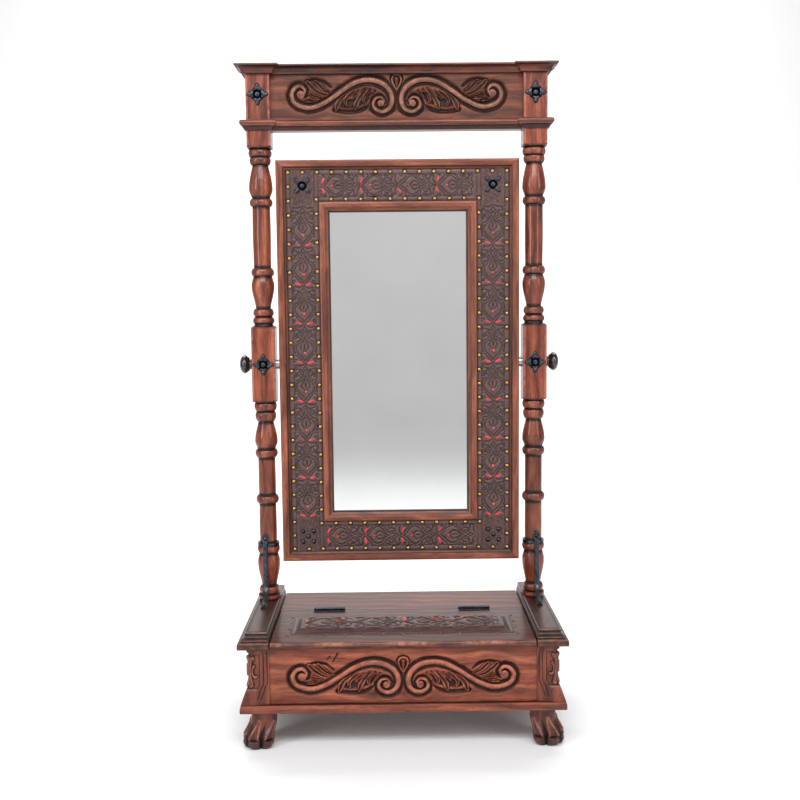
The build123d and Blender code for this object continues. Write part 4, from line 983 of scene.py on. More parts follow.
def leather_strip(side, vertical, seed):
    """Leather-covered border board with tooling, pressed edges and a dimple under each nail."""
    node = "leather_border_" + side
    low, high = node_box(node)
    middle = (low + high) / 2

    def carve(relief):
        if vertical:
            across, along = relief.x - middle[0], relief.z - low[2]
            run, ends, width = high[2] - low[2], UPRIGHT_PLAIN, high[0] - low[0]
        else:
            across, along = relief.z - middle[2], relief.x - low[0]
            run, ends, width = high[0] - low[0], LEVEL_PLAIN, high[2] - low[2]
        height, paint = tooled(across, along, run, ends, seed)
        edge = width / 2 - np.abs(across)
        band = smooth_step((EDGE_BAND - edge) / 2.0)
        height = height * (1 - band)
        groove = np.exp(-((edge - GROOVE_INSET) / 1.0) ** 2)
        cord = np.exp(-((edge - TACK_INSET) / 1.5) ** 2)
        height += 0.55 * cord - 0.7 * groove
        swell = 1.1 * np.sqrt(np.clip(1 - (across / (width / 2)) ** 2, 0, 1))
        height += swell - 1.0
        ringed = np.zeros_like(height)
        for x, z in TACKS:
            near = (np.abs(relief.x - x) < DIMPLE_REACH) & (np.abs(relief.z - z) < DIMPLE_REACH)
            distance = np.hypot(relief.x[near] - x, relief.z[near] - z)
            height[near] -= 1.1 * np.exp(-(distance / (TACK_RADIUS + 1.0)) ** 2)
            ringed[near] = np.maximum(ringed[near], np.exp(-((distance - TACK_RADIUS - 0.6) / 2.0) ** 2))
        relief.height = height
        # Darkening: antiquing and painted shade in the hollows and the groove, painted highlight on proud parts
        # below zero, and darker in a ring round each nail head.
        stain = np.clip((box_blur(height, 4) - height) / 0.5, -0.5, 1) * 0.6 + 0.35 * groove + 1.2 * ringed
        return {"stain": stain, "paint": paint * (1 - band)}

    relief_slab("tooled_leather_" + side, LEATHER, "mirror", (node,), carve, 1.4, 70)


for strip_seed, strip_side in enumerate(("left", "right", "top", "bottom"), 1):
    leather_strip(strip_side, strip_side in SIDES.values(), float(strip_seed))


# ================================================================== nails, rosettes and studs
def lathe(profile, around=24):
    """Ring stack (points, faces) about +Z from (radius, height) pairs, closed at both ends."""
    turns = np.linspace(0, 2 * math.pi, around, endpoint=False)
    points = np.array([[(r * math.cos(t), r * math.sin(t), z) for t in turns] for r, z in profile])
    return points.reshape(-1, 3), capped(len(profile), around, True)


def facing(points, direction):
    """Turn points that rise along +Z so that they rise along another axis."""
    x, y, z = points.T
    turned = {"front": (x, -z, y), "back": (-x, z, y), "up": (x, y, z),
              "right": (z, x, y), "left": (-z, -x, y)}
    return np.column_stack(turned[direction])


def dome_profile(radius, rise, rim=0.4):
    """Domed nail head with a thin turned-down rim."""
    ball = (radius ** 2 + rise ** 2) / (2 * rise)
    widest = math.asin(min(1.0, radius / ball))
    cap = [(ball * math.sin(a), rim + ball * math.cos(a) - ball + rise) for a in np.linspace(widest, 0.04, 7)]
    return [(radius * 0.9, -0.6), (radius, -0.2)] + cap


def nail_heads(name, boxes, direction, radius, rise, material, body, slot, replaced=()):
    """One brass or iron dome at each solid of a CAD node."""
    shape = Shape()
    points, faces = lathe(dome_profile(radius, rise), 20)
    rim = np.clip(np.hypot(points[:, 0], points[:, 1]) / radius * 4 - 3.1, 0, 1)
    points = facing(points, direction)
    for low, high in boxes:
        middle = (low + high) / 2
        if direction == "front":
            middle[1] = high[1]
        elif direction == "back":
            middle[1] = low[1]
        else:
            middle[2] = low[2]
        shape.add(points + middle, faces, stain=rim)
    return shape.piece(name, material, body, slot, replaced, 50)


BORDER_NAIL_RISE = 3.2
LID_NAIL_RADIUS, LID_NAIL_RISE = 4.0, 2.2
nail_heads("border_nail_heads", tack_boxes, "front", TACK_RADIUS, BORDER_NAIL_RISE, BRASS, "mirror",
           "antique_brass", ("border_tacks",))
nail_heads("lid_nail_heads", islands("lid_tacks"), "up", LID_NAIL_RADIUS, LID_NAIL_RISE, BRASS, "lid",
           "antique_brass", ("lid_tacks",))


def flower(reach, turn, waist, rings=26, around=160):
    """Forged four-petal rosette with a domed tip on every petal and a nail head in the middle."""
    turns = np.linspace(0, 2 * math.pi, around, endpoint=False)
    petal = np.abs(np.cos(2 * (turns - turn)))
    outline = reach * (waist + (1 - waist) * petal ** 5 - 0.07 * np.exp(-((petal - 0.72) / 0.10) ** 2))
    points = [np.column_stack([outline * np.cos(turns), outline * np.sin(turns), np.full(around, -0.4)])]
    dark = [np.ones(around)]
    for share in np.linspace(1, 0.02, rings):
        radius = outline * share
        x, y = radius * np.cos(turns), radius * np.sin(turns)
        height = 2.6 * np.sqrt(np.clip(1 - share ** 9, 0, 1))
        height = height + 1.3 * petal * np.exp(-((radius - reach * 0.52) / (reach * 0.16)) ** 2)
        height = height - 1.5 * np.exp(-((radius - reach * 0.33) / (reach * 0.05)) ** 2)
        for k in range(4):
            tip = turn + k * math.pi / 2
            d = np.hypot(x - 0.79 * reach * math.cos(tip), y - 0.79 * reach * math.sin(tip)) / (reach * 0.19)
            height = height + 2.6 * np.sqrt(np.clip(1 - d ** 2, 0, 1))
        d = radius / (reach * 0.24)
        height = height + 4.2 * np.sqrt(np.clip(1 - d ** 2, 0, 1))
        points.append(np.column_stack([x, y, height]))
        # Painted shade in the ring groove and on the low parts of the plate.
        crevice = np.exp(-((radius - reach * 0.33) / (reach * 0.08)) ** 2) + 0.7 * (height < 3.0)
        dark.append(np.clip(crevice, 0, 1))
    return np.vstack(points), capped(rings + 1, around, True), np.concatenate(dark)


ROSETTE_REACH = 32.0
CROSS_REACH = 31.0


def post_rosettes():
    """Four-petal rosettes on the header blocks and on the pivot blocks."""
    shape = Shape()
    points, faces, dark = flower(ROSETTE_REACH, math.pi / 2, 0.64)
    points = facing(points, "front")
    for low, high in islands("post_rosettes"):
        middle = (low + high) / 2
        shape.add(points + (middle[0], high[1], middle[2]), faces, stain=dark)
    shape.piece("iron_post_rosettes", IRON, "stand", "black_iron", ("post_rosettes",), 50)


post_rosettes()

studs_low, studs_high = node_box("border_rosettes")
STUD_BOXES = islands("border_rosettes")
STUD_RADIUS = (STUD_BOXES[0][1][0] - STUD_BOXES[0][0][0]) / 2
CORNER_INSET = STUD_RADIUS + 16.0


def corner_rosettes():
    """Crosses of petals in the upper corners of the leather, five studs in the lower ones."""
    shape = Shape()
    points, faces, dark = flower(CROSS_REACH, math.pi / 4, 0.44)
    points = facing(points, "front")
    stud, stud_faces = lathe(dome_profile(STUD_RADIUS, 5.0, 0.6), 24)
    stud = facing(stud, "front")
    split = (studs_low[2] + studs_high[2]) / 2
    for x in (studs_low[0] + CORNER_INSET, studs_high[0] - CORNER_INSET):
        shape.add(points + (x, LEATHER_FACE, studs_high[2] - CORNER_INSET), faces, stain=dark)
    for low, high in STUD_BOXES:
        if low[2] < split:
            shape.add(stud + ((low[0] + high[0]) / 2, LEATHER_FACE, (low[2] + high[2]) / 2), stud_faces)
    shape.piece("iron_corner_rosettes", IRON, "mirror", "black_iron", ("border_rosettes",), 50)


corner_rosettes()


# ================================================================== glass and back
def mirror_plate():
    """Silvered plate with a narrow bevel round its visible edge."""
    low, high = node_box("mirror_glass")
    bevel_in, bevel_drop = 9.5, 1.6
    rings = [(0, high[1]), (0, low[1] + bevel_drop), (4.5, low[1] + bevel_drop - 0.2), (bevel_in, low[1])]
    points, corners = [], ((0, 0), (1, 0), (1, 1), (0, 1))
    for inset, y in rings:
        for cx, cz in corners:
            x = low[0] + inset if cx == 0 else high[0] - inset
            z = low[2] + inset if cz == 0 else high[2] - inset
            points.append((x, y, z))
    add_piece("mirror_plate", points, capped(len(rings), 4), GLASS, "mirror",
              ("mirror_glass",), crease=5)


mirror_plate()
panel_low, panel_high = node_box("mirror_back_panel")


def panel_pins():
    """Small steel screws that hold the back board."""
    shape = Shape()
    points, faces = lathe(dome_profile(3.6, 1.4, 0.2), 16)
    points = facing(points, "back")
    inset = 5.0
    for z in np.linspace(panel_low[2] + 40, panel_high[2] - 40, 7):
        for x in (panel_low[0] + inset, panel_high[0] - inset):
            shape.add(points + (x, panel_high[1], z), faces)
    for x in np.linspace(panel_low[0] + 60, panel_high[0] - 60, 4):
        for z in (panel_low[2] + inset, panel_high[2] - inset):
            shape.add(points + (x, panel_high[1], z), faces)
    shape.piece("back_panel_screws", STEEL, "mirror", "zinc_steel")


panel_pins()


# ================================================================== chest
CORNER_WIDTH = 61.0
FLARE_TALL = 51.0
FLARE_SIDE = 18.0
FLARE_FACE = 10.0


def corner_block(side, front):
    """Chest corner: a canted corner carved with scrolls over a flared foot. Back corners stay plain."""
    name = corner_name(side, front) + "_corner_block"
    low, high = node_box(name)
    z0, z1 = low[2], high[2]
    inner = min(abs(low[0]), abs(high[0]))
    outer = inner + CORNER_WIDTH
    if front:
        face, rear, toward, flare_face = high[1] - CORNER_WIDTH, high[1], 1, FLARE_FACE
    else:
        face, rear, toward, flare_face = high[1], high[1] - CORNER_WIDTH, -1, 0.0
    zs = np.concatenate([np.linspace(z0, z0 + (FLARE_TALL - 1), 26), np.linspace(z0 + FLARE_TALL, z1, 84)])
    relief = Relief(np.linspace(-88, 88, 176), zs)
    if front:
        carve_corner(relief)
    rings, shade_and_stain_rows = [], []
    # Glaze and painted shade in the carving's hollows, painted highlight on its proud edges, plus an even
    # darkening.
    blur = hollow_shade_and_glaze(relief.height, 2, 5.0)
    for k, z in enumerate(zs):
        drop = np.clip((z0 + FLARE_TALL - z) / FLARE_TALL, 0, 1)
        cant_share = 0.0
        if front:
            cant_share = smooth_step((z - z0 - (FLARE_TALL - 1)) / 8) * smooth_step((z1 - 8 - z) / 8)
        cant = 1.2 + 15.0 * cant_share
        x_out, y_face = outer + FLARE_SIDE * drop, face - toward * flare_face * drop
        spots = np.array([(inner, face), (inner + 4, face), (x_out - cant, y_face),
                          (x_out, y_face + toward * cant), (x_out, rear)])
        lengths = np.hypot(*(spots[1:] - spots[:-1]).T)
        marks = np.concatenate([[0], np.cumsum(lengths)])
        s = relief.x[k] + lengths[0] + lengths[1] + lengths[2] / 2
        inside = np.clip(s, 0, marks[-1])
        x, y = np.interp(inside, marks, spots[:, 0]), np.interp(inside, marks, spots[:, 1])
        slope = np.clip((inside - lengths[0] - lengths[1]) / lengths[2], 0, 1) * math.pi / 2
        x, y = x + relief.height[k] * np.sin(slope), y - toward * relief.height[k] * np.cos(slope)
        ring = np.column_stack([side * x, y, np.full(len(x), z)])
        rings.append(np.vstack([ring, [(side * inner, rear, z)]]))
        shade_and_stain_rows.append(np.append(blur[k] + 0.10, 0.0))
    rings = np.array(rings)
    shape = Shape()
    shape.add(rings, capped(*rings.shape[:2]), stain=np.array(shade_and_stain_rows).ravel())
    look = wood("Z", 0.42, 0.5, 0.6, 20 + side + 2 * front)
    shape.piece("carved_" + name if front else "plain_" + name, look, "stand", "stained_pine", (name,), 42)


# Scroll of the corner block, one half: x from the middle of the cant along the surface, z from the floor.
CORNER_STROKES = (
    (((-11, 257), (-5, 250), (-2.5, 238), (-2, 220), (-2.5, 200), (-7, 186), (-13, 179)),
     (6.2, 6.4, 5.4, 4.8, 5.2, 6.0, 4.4)),
    (((-15, 236), (-10.5, 227), (-10.5, 214), (-15, 206), (-21, 206)), (3.8, 3.4, 3.0, 3.2, 3.4)),
)
FIELD_DEPTH = 3.2


def carve_corner(relief):
    """Recessed field with raised scrolls and an upright fillet beside it."""
    field = smooth_step((33 - np.abs(relief.x)) / 2.5) * smooth_step((relief.z - 168) / 4) \
        * smooth_step((270 - relief.z) / 4)
    relief.height = -FIELD_DEPTH * field
    for points, widths in CORNER_STROKES:
        distance, width = relief.stroke(points, widths, per_span=6)[:2]
        u = np.clip(distance / width, 0, 1)
        vein = 1.3 * np.exp(-(distance / (0.3 * width)) ** 2)
        relief.raise_to(np.where(distance < width, -FIELD_DEPTH + 6.8 * (1 - u ** 2.4) ** 0.55 - vein, -9))
    upright = smooth_step((relief.z - 140) / 2) * smooth_step((274 - relief.z) / 2)
    for place in (-41.0, -51.0):
        relief.height -= 2.2 * np.exp(-((relief.x - place) / 1.2) ** 2) * upright


for side in SIDES:
    corner_block(side, True)
    corner_block(side, False)


FOOT_SPREAD, FOOT_FULL = 16.0, 87.0
HALF_TOE = 30


def paw_foot(side, front):
    """Leg that spreads into a four-toed paw along the corner's diagonal."""
    name = corner_name(side, front) + "_foot"
    low, high = node_box(name)
    toward = -1 if front else 1
    cx = (high[0] if side > 0 else low[0]) - side * (FOOT_FULL / 2 + FOOT_SPREAD - 1)
    cy = (low[1] if front else high[1]) - toward * (FOOT_FULL / 2 + FOOT_SPREAD - 1)
    tall = high[2]
    turns = np.linspace(0, 2 * math.pi, 180, endpoint=False)
    outward = math.atan2(toward, side)
    phi = np.degrees(np.mod(turns - outward + math.pi, 2 * math.pi) - math.pi)
    toe = np.clip(np.round((phi - HALF_TOE) / (2 * HALF_TOE)), -2, 1)
    psi = np.clip(phi - (HALF_TOE + 2 * HALF_TOE * toe), -HALF_TOE, HALF_TOE)
    pawed = smooth_step((128 - np.abs(phi)) / 14)
    rings, shade_and_stain_rows = [], []
    zs = np.concatenate([np.linspace(0, 30, 34), np.linspace(31, 86, 44), np.linspace(88, tall, 10)])
    for z in zs:
        half = np.interp(z, (0, 3, 8, 16, 27, 38, 52, 68, 84, 96, tall),
                         (33, 36.5, 39.5, 41.5, 42.0, 42.5, 39.5, 35.6, 33.6, 33.4, 34.5))
        power = np.interp(z, (0, 40, 80, tall), (2.6, 2.8, 5.0, 9.0))
        base = half / (np.abs(np.cos(turns)) ** power + np.abs(np.sin(turns)) ** power) ** (1 / power)
        grow = smooth_step((84 - z) / 46)
        valley = (np.abs(psi) / HALF_TOE) ** 5
        ridge_at = np.interp(z, (24, 80), (19, 2))
        ridge = np.exp(-((np.abs(psi) - ridge_at) / 5.5) ** 2)
        ridge = ridge * smooth_step((84 - z) / 10) * smooth_step((z - 22) / 5)
        ball = np.sqrt(np.clip(1 - ((z - 12) / 13.5) ** 2, 0, 1))
        ball = ball * np.sqrt(np.clip(1 - (psi / 29) ** 2, 0, 1))
        crease = np.exp(-((z - 26.5) / 2.4) ** 2) * (1 - (np.abs(psi) / HALF_TOE) ** 2)
        bump = -8.0 * valley * grow + 4.2 * ridge + 5.0 * ball - 3.6 * crease - 2.4 * grow
        radius = base + bump * pawed
        shift = np.interp(z, (0, 14, 36, 66, tall), (FOOT_SPREAD - 2, FOOT_SPREAD - 1, FOOT_SPREAD - 1, 3, 0))
        rings.append(np.column_stack([cx + side * shift + radius * np.cos(turns),
                                      cy + toward * shift + radius * np.sin(turns), np.full(len(turns), z)]))
        # Glaze and painted shade in the valleys and the crease, painted highlight on the ridges and the toe balls,
        # painted shade near the floor and under the chest.
        glaze_and_shade = valley * grow * 1.2 + 0.9 * crease - 0.35 * ridge + 0.30 * grow * (1 - ridge)
        glaze_and_shade = glaze_and_shade - 0.2 * ball * (z > 8)
        shade_and_stain_rows.append(glaze_and_shade * pawed + 0.35 * smooth_step((8 - z) / 8) + 0.5 * smooth_step((z - tall + 5) / 5))
    rings, shade_and_stain_rows = np.array(rings), np.array(shade_and_stain_rows)
    shape = Shape()
    shape.add(rings, capped(len(zs), len(turns)), stain=shade_and_stain_rows.ravel())
    shape.piece("carved_" + name, wood("Z", 0.40, 0.6, 0.6, 25 + side + 2 * front), "stand", "stained_pine",
                (name,), 50)


for side in SIDES:
    paw_foot(side, True)
    paw_foot(side, False)


def base_moulding():
    """Moulding under the chest on three sides."""
    high = node_box("base_moulding_sides")[1]
    front_low, front_high = node_box("base_moulding_front")
    z0, z1 = front_low[2], front_high[2]
    depth = 40.0
    x, y = high[0] - depth, front_low[1] + depth
    # Third column: painted shade with glaze underneath and in the crease against the chest; painted highlight on
    # the rounded edges below zero.
    profile = [(0, z0, 0.2), (depth - 3.6, z0, 0.2), (depth - 1.2, z0 + 1.0, 0.0), (depth, z0 + 3.6, -0.1),
               (depth, z0 + 14, 0.0), (depth - 0.8, z0 + 18.5, -0.1), (depth - 2.6, z0 + 21.4, -0.1),
               (depth - 5, z0 + 22.4, 0.1), (depth - 6.5, z1, 0.6), (0, z1, 0.9)]
    shape = Shape()
    mitred_sweep(shape, [(-x, high[1]), (-x, y), (x, y), (x, high[1])], profile)
    shape.piece("base_moulding", wood("X", 0.55, 0.6, 0.75, 30), "stand", "stained_pine",
                ("base_moulding_front", "base_moulding_sides"), 34)


base_moulding()


def rail(side):
    """Side rail of the chest's top: a ledge with a rounded edge, and a cap with a bead over a cove."""
    name = SIDES[side]
    for part, seed in (("ledge", 33), ("cap", 36)):
        low, high = node_box(name + "_rail_" + part)
        z0, z1 = low[2], high[2]
        x0, x1 = sorted((abs(low[0]), abs(high[0])))
        inset = 22.0 if part == "cap" else 14.0
        inner_inset, inner_share = (8.0, 0.36) if part == "cap" else (2.0, 0.0)
        plan = [(side * (x0 + inner_inset), high[1]), (side * (x0 + inner_inset), low[1] + inset),
                (side * (x1 - inset), low[1] + inset), (side * (x1 - inset), high[1])]
        inner_move = -side * inner_share
        moves = [(inner_move, 0), (inner_move, -1), (side, -1), (side, 0)]
        # Third column of each profile: glaze and painted shade in the creases and underneath, painted highlight on
        # the bead and rounded edges below zero.
        if part == "ledge":
            profile = [(inset - 5, z0, 0.5), (inset - 1.6, z0 + 0.5, 0.1), (inset, z0 + 2.5, -0.1),
                       (inset, z0 + 13, -0.05), (inset - 0.8, z0 + 17, -0.2), (inset - 3, z0 + 19.3, -0.25),
                       (inset - 6, z1, -0.1), (inset - 14, z1, 0.2)]
        else:
            profile = [(inset - 1, z0, 0.5), (inset, z0 + 1.5, 0.1), (inset, z0 + 5, -0.15),
                       (inset - 1.5, z0 + 7, 0.4), (inset - 5.5, z0 + 9, 0.3), (inset - 9.5, z0 + 13, 0.25),
                       (inset - 11.2, z0 + 17, 0.45), (inset - 11.6, z0 + 19, 0.8),
                       (inset - 10.6, z0 + 20.2, 0.1), (inset - 10.2, z0 + 22.5, -0.3),
                       (inset - 11.4, z0 + 24.8, -0.3), (inset - 14, z1 - 0.3, -0.1),
                       (inset - 16, z1 - 0.5, 0.6), (inset - 18, z1, 0.1), (0, z1, 0.02)]
        look = wood("Y", 0.10, 0.60, 0.2, seed + side)
        levels(name + "_moulded_" + part, plan, moves, profile, look, "stand", "stained_pine",
               (name + "_rail_" + part,), 34)


for side in SIDES:
    rail(side)
NOSE = 8


def lid():
    """Lid board with a full rounded nose; its upper half is lighter, rubbed glaze plus painted highlight, and its
    underside darker, thick glaze plus painted shade.
    """
    low, high = node_box("lid_board")
    z0, z1 = low[2], high[2]
    thick = z1 - z0
    section = [(high[1], z0, 0.0), (high[1], z1, 0.1), (low[1] + 2 * NOSE, z1, 0.15),
               (low[1] + NOSE, z1, 0.05)]
    section += [(low[1] + NOSE - NOSE * math.sin(t), z1 - thick / 2 + thick / 2 * math.cos(t),
                 -0.25 + 0.25 * (t > 1.6)) for t in np.linspace(0.1, math.pi - 0.1, 14)]
    section += [(low[1] + NOSE, z0, 0.5)]
    runs = np.linspace(low[0], high[0], 80)
    rings = np.array([[(x, y, z) for y, z, s in section] for x in runs])
    stain = np.array([[s + 0.14 * math.sin(x * 0.031 + s * 9) * (s < 0.1) for y, z, s in section]
                      for x in runs])
    shape = Shape()
    shape.add(rings, capped(len(runs), len(section)), stain=stain.ravel())
    shape.piece("nosed_lid_board", wood("X", 0.26, 0.55, 0.5, 40), "lid", "stained_pine", ("lid_board",), 34)


lid()
PAD_MARGIN = 10.0
PAD_SLOPE = 20.0
PAD_FLANGE, PAD_RISE, PAD_CROWN = 1.5, 8.2, 1.6
PAD_FIELD = 24
# Painted ticks: x, y, lean.
PAD_PAINT = ((-183, -80, 6), (-171, -60, -5), (-92, -76, 5), (-55, -52, -5), (-8, -58, 5), (8, -58, -5),
             (88, -52, 5), (100, -78, -6), (171, -60, 5), (186, -52, -6))


def lid_pad():
    """Raised leather panel of the lid: a nailed flange, sloping sides with folded corners, tooled top."""
    low, high = node_box("lid_leather_pad")
    size = high - low
    step = 1.6
    cols, rows = int(size[0] / step) + 1, int(size[1] / step) + 1
    x, y = np.meshgrid(np.linspace(low[0], high[0], cols), np.linspace(low[1], high[1], rows))
    mx, my = (low + high)[:2] / 2
    along, across = x - low[0], y - my
    edge_x = size[0] / 2 - np.abs(x - mx)
    edge_y = size[1] / 2 - np.abs(y - my)
    edge = np.minimum(edge_x, edge_y)
    rise = smooth_step((edge - PAD_MARGIN) / PAD_SLOPE)
    crown = np.sqrt(np.clip(1 - (across / (size[1] / 2)) ** 2, 0, 1))
    crown = crown * np.sqrt(np.clip(1 - ((x - mx) / (size[0] / 2)) ** 4, 0, 1))
    height = PAD_FLANGE + PAD_RISE * rise + PAD_CROWN * crown * rise
    pattern, paint = tooled(across, along, size[0], 34.0, 6.0, 1.15)
    field = smooth_step((edge - PAD_FIELD) / 6)
    height += pattern * field * 0.6
    flat = Relief(np.linspace(low[0], high[0], cols), np.linspace(low[1], high[1], rows))
    for place, depth, lean in PAD_PAINT:
        tick = flat.stroke([(place - lean, depth - 9), (place, depth), (place + lean, depth + 10)],
                           (0.8, 4.2, 2.0), mirrored=False)
        paint = np.maximum(paint, smooth_step((tick[1] - tick[0]) / 0.9))
    corner_fold = np.exp(-(np.abs(edge_x - edge_y) / 2.0) ** 2) * rise * (1 - rise) * 4
    seam = np.exp(-((edge - PAD_MARGIN - 1.5) / 1.1) ** 2)
    welt = np.exp(-((edge - PAD_MARGIN + 2.5) / 1.4) ** 2)
    height += -1.0 * corner_fold - 0.6 * seam + 0.5 * welt + 0.35 * ripple(x, y, 48, 3.0) * rise
    height = np.minimum(height, size[2] - 0.05)
    # Darkening: antiquing and painted shade in the hollows, the seam and the folded corners, painted highlight on
    # proud parts below zero.
    stain = np.clip((box_blur(height - 10 * rise, 4) - height + 10 * rise) / 0.5, -0.5, 1) * 0.7
    stain = stain + 0.5 * seam + 0.3 * corner_fold
    top = np.stack([x, y, low[2] + np.maximum(height * smooth_step(edge / 1.2 + 0.35), 0.4)], -1)
    index = np.arange(rows * cols).reshape(rows, cols)
    loop = np.concatenate([index[0], index[1:, -1], index[-1, -2::-1], index[-2:0:-1, 0]])
    n = rows * cols
    skirt = top.reshape(-1, 3)[loop].copy()
    skirt[:, 2] = low[2]
    points = np.vstack([top.reshape(-1, 3), skirt])
    faces = grid_faces(rows, cols).tolist()
    count = len(loop)
    faces += [[int(loop[k]), int(loop[(k + 1) % count]), n + (k + 1) % count, n + k] for k in range(count)]
    faces.append([n + k for k in range(count)])
    # The sides of the pad are darker as painted shade.
    fields = {"stain": np.append(stain.ravel(), np.full(count, 0.3)),
              "paint": np.append((paint * field).ravel(), np.zeros(count))}
    pad = add_piece("tooled_lid_pad", points, faces, LEATHER, "lid", ("lid_leather_pad",),
                    fields, 70)


lid_pad()


# ================================================================== iron and knobs
KNOB_DEPTH, KNOB_UNDERSIDE = 15, 12.5


def knob(side):
    """Oblate black knob on a short neck."""
    name = SIDES[side] + "_knob"
    low, high = node_box(name)
    base, tip = sorted((abs(low[0]), abs(high[0])))
    radius = (high[2] - low[2]) / 2
    deep = tip - base
    profile = [(18.4, 0), (19, 0.8), (18.6, 2.0), (16.2, 3.6), (15.3, 6.0), (15.8, 8.0), (19.5, 9.6)]
    profile += [(radius * math.cos(t) ** 0.8 if t < math.pi / 2 - 0.03 else 0.6,
                 deep - KNOB_DEPTH + (KNOB_DEPTH if t > 0 else KNOB_UNDERSIDE) * math.sin(t))
                for t in np.linspace(-0.62, math.pi / 2 - 0.02, 22)]
    points, faces = lathe(profile, 56)
    points = facing(points, "right" if side > 0 else "left")
    shape = Shape()
    shape.add(points + (side * base, PIVOT.y, PIVOT.z), faces)
    shape.piece("turned_" + name, LACQUER, name, "black_wood", (name,), 40)


for side in SIDES:
    knob(side)
# Side line of a brace: y from the post axis, z above the floor.
BRACE_LINE = ((-30.2, 533), (-30.2, 516), (-34.5, 502), (-38.5, 484), (-41, 432), (-42.5, 392), (-48, 370),
              (-64, 352), (-83, 338.5), (-95, 333.8), (-117, 333.6))


def brace(side):
    """Forged strap from the post to the rail, with a round tab at the top and a spread toe."""
    name = SIDES[side] + "_brace"
    low, high = node_box(name)
    middle = (low[0] + high[0]) / 2
    line = curve_through(BRACE_LINE, 12)
    step = np.gradient(line, axis=0)
    step /= np.hypot(*step.T)[:, None]
    normal = np.column_stack([step[:, 1], -step[:, 0]])
    share = np.linspace(0, 1, len(line))
    half_width = np.interp(share, (0, 0.03, 0.09, 0.14, 0.2, 0.55, 0.8, 0.96, 1),
                           (5.5, 9.6, 10.2, 7.4, 6.6, 7.2, 7.6, 8.8, 6.4))
    half_thick = np.interp(share, (0, 0.1, 0.5, 0.62, 1), (2.6, 3.4, 3.6, 3.9, 2.4))
    section = [tuple(math.copysign(abs(wave) ** 0.55, wave) for wave in (math.cos(t), math.sin(t)))
               for t in np.linspace(0, 2 * math.pi, 20, endpoint=False)]
    rings = []
    for k, (y, z) in enumerate(line):
        hammer = 0.35 * math.sin(k * 0.9 + side) + 0.2 * math.sin(k * 2.3)
        rings.append([(middle + a * (half_width[k] + 0.3 * hammer),
                       POST_Y + y + normal[k][0] * b * half_thick[k],
                       z + normal[k][1] * b * (half_thick[k] + 0.3 * hammer)) for a, b in section])
    rings = np.array(rings)
    shape = Shape()
    shape.add(rings, capped(len(rings), len(section)))
    shape.piece("forged_" + name, IRON, "stand", "black_iron", (name,), 50)


for side in SIDES:
    brace(side)


def brace_bolts():
    """Domed bolt heads on the tab and on the toe of each brace."""
    shape = Shape()
    points, faces = lathe([(7.4, -0.6), (7.4, 1.0)] + dome_profile(6.2, 4.0, 1.0)[2:], 20)
    for low, high in islands("brace_screws"):
        middle = (low + high) / 2
        upright = high[2] - low[2] > high[1] - low[1]
        if upright:
            shape.add(facing(points, "front") + (middle[0], high[1], middle[2]), faces)
        else:
            shape.add(points + (middle[0], middle[1], low[2]), faces)
    shape.piece("brace_bolt_heads", IRON, "stand", "black_iron", ("brace_screws",), 50)


brace_bolts()


SCREW_INSET = 7
LEAF_THICK = 2.0


def hinge_screws(node, body, name):
    """Three countersunk screw heads on every hinge leaf."""
    shape = Shape()
    points, faces = lathe([(3.4, -0.4), (3.4, 0.3), (3.0, 0.7), (0.9, 0.95), (0.2, 0.9)], 16)
    for low, high in islands(node):
        span = high - low
        flat = low[1] + SCREW_INSET if node == "hinge_moving_leaves" else high[1] - SCREW_INSET
        for share in (0.14, 0.5, 0.86):
            shape.add(points + (low[0] + span[0] * share, flat, low[2] + LEAF_THICK), faces)
    shape.piece(name, IRON, body, "black_iron", crease=50)


hinge_screws("hinge_moving_leaves", "lid", "lid_hinge_screws")
hinge_screws("hinge_fixed_leaves", "stand", "deck_hinge_screws")


# ================================================================== stage, lights and camera
LENS, SENSOR = 46.46, 36.0
EYE = (-0.025, -2.9677, 1.2206)
YAW, PITCH, ROLL = -0.0085, 0.0947, -0.0099


def camera():
    """Camera where the photograph was taken from, turned by yaw, pitch and roll in radians."""
    data = bpy.data.cameras.new("camera")
    data.lens = LENS
    data.sensor_width = SENSOR
    eye = bpy.data.objects.new("camera", data)
    bpy.context.scene.collection.objects.link(eye)
    forward = Vector((-math.sin(YAW), math.cos(YAW), 0))
    right = Vector((math.cos(YAW), math.sin(YAW), 0))
    up = Vector((0, 0, 1))
    ahead = math.cos(PITCH) * forward - math.sin(PITCH) * up
    above = math.sin(PITCH) * forward + math.cos(PITCH) * up
    x_axis = math.cos(ROLL) * right + math.sin(ROLL) * above
    y_axis = -math.sin(ROLL) * right + math.cos(ROLL) * above
    turn = Matrix((x_axis, y_axis, -ahead)).transposed().to_4x4()
    eye.matrix_world = Matrix.Translation(EYE) @ turn
    bpy.context.scene.camera = eye


def area_light(name, place, target, size, power, colour):
    data = bpy.data.lights.new(name, "AREA")
    data.shape = "RECTANGLE"
    data.size, data.size_y = size
    data.energy = power
    data.color = colour
    lamp = bpy.data.objects.new(name, data)
    bpy.context.scene.collection.objects.link(lamp)
    lamp.location = place
    lamp.rotation_euler = (Vector(target) - Vector(place)).to_track_quat("-Z", "Y").to_euler()


WORLD_LIGHT = 0.30
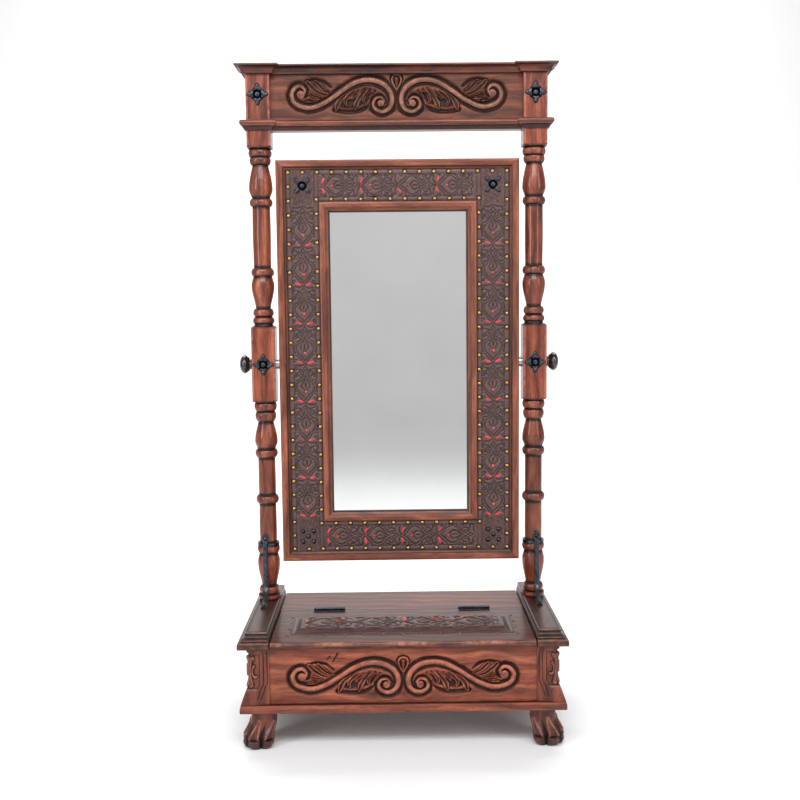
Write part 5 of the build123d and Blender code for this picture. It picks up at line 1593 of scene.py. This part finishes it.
# Area lights: name, place, target, size, power and colour, in metres and watts.
LIGHTS = (
    ("front_softbox", (0.0, -2.9, 3.7), (0, 0, 1.2), (3.2, 1.3), 118, (0.95, 0.975, 1.0)),
    ("left_strip", (-2.3, -1.9, 1.9), (0, 0, 1.0), (0.5, 2.0), 40, (1.0, 0.98, 0.95)),
    ("right_strip", (2.3, -1.9, 1.9), (0, 0, 1.0), (0.5, 2.0), 26, (1.0, 0.98, 0.96)),
    ("low_fill", (-1.7, -3.4, 0.5), (0, 0, 0.3), (1.0, 0.5), 6, (1.0, 0.97, 0.94)),
    ("low_fill", (1.7, -3.4, 0.5), (0, 0, 0.3), (1.0, 0.5), 6, (1.0, 0.97, 0.94)),
    ("backdrop_light", (0.0, 2.2, 5.2), (0, 6.4, 1.6), (6.0, 1.2), 400, (1.0, 1.0, 1.0)),
    ("floor_light", (0.0, 2.2, 5.0), (0, 3.4, 0.0), (6.0, 1.5), 130, (1.0, 1.0, 1.0)),
    ("far_light", (0.0, -3.4, 5.4), (0, -8.2, 1.6), (5.0, 1.0), 90, (1.0, 0.99, 0.97)),
)


def stage():
    """Pale floor that sweeps up into a backdrop, and soft light from the front, the sides and above."""
    radius, back, reach, height = 3.0, 5.0, 14.0, 9.0
    profile = [(-back - radius * math.sin(t), radius - radius * math.cos(t))
               for t in np.linspace(math.pi / 2, 0, 40)]
    profile += [(back + radius * math.sin(t), radius - radius * math.cos(t))
                for t in np.linspace(0, math.pi / 2, 40)]
    profile = [(-back - radius, height)] + profile + [(back + radius, height)]
    verts = [(x, y, z) for y, z in profile for x in (-reach, reach)]
    mesh = bpy.data.meshes.new("floor")
    mesh.from_pydata(verts, [], [(2 * k, 2 * k + 1, 2 * k + 3, 2 * k + 2) for k in range(len(profile) - 1)])
    mesh.polygons.foreach_set("use_smooth", [True] * len(mesh.polygons))
    floor = bpy.data.objects.new("floor", mesh)
    bpy.context.scene.collection.objects.link(floor)
    n = Nodes("pale_floor")
    tone = n.noise(n.coords((1, 1, 1)), 0.6)
    n.set(n.shader, {"Base Color": n.ramp(tone, [(0.3, (0.82, 0.82, 0.82)), (0.7, (0.85, 0.85, 0.85))]),
                     "Roughness": 0.8})
    mesh.materials.append(n.material)
    world = bpy.data.worlds.new("studio")
    world.use_nodes = True
    background = world.node_tree.nodes["Background"]
    background.inputs[0].default_value = (1, 1, 1, 1)
    background.inputs[1].default_value = WORLD_LIGHT
    bpy.context.scene.world = world
    bpy.context.scene.view_settings.view_transform = "Standard"
    for light in LIGHTS:
        area_light(*light)


camera()
stage()


# ================================================================== CAD nodes that stay
def dress(material, *names):
    for name in names:
        slots = CAD[name].data.materials
        slots.clear()
        slots.append(material)


def default_dress():
    """Material for every CAD node that is still shown, by its slot."""
    slot_of = {s["node"]: s["material_slot"] for s in frame["record"]["subparts"]}
    looks = {"stained_pine": wood("X", 0.30, 0.40, 0.4, 7), "turned_pine": wood("Z", 0.5, 0.7, 0.7, 8),
             "black_iron": IRON, "black_wood": LACQUER, "zinc_steel": STEEL, "antique_brass": BRASS,
             "tooled_leather": LEATHER, "silvered_glass": GLASS, "back_board": BACKING}
    for name, obj in CAD.items():
        if not obj.hide_render:
            dress(looks[slot_of[name]], name)
            edge = obj.modifiers.new("eased_edges", "BEVEL")
            edge.width = 0.7 * MM
            edge.segments = 2
            edge.limit_method = "ANGLE"
            edge.angle_limit = math.radians(50)


default_dress()
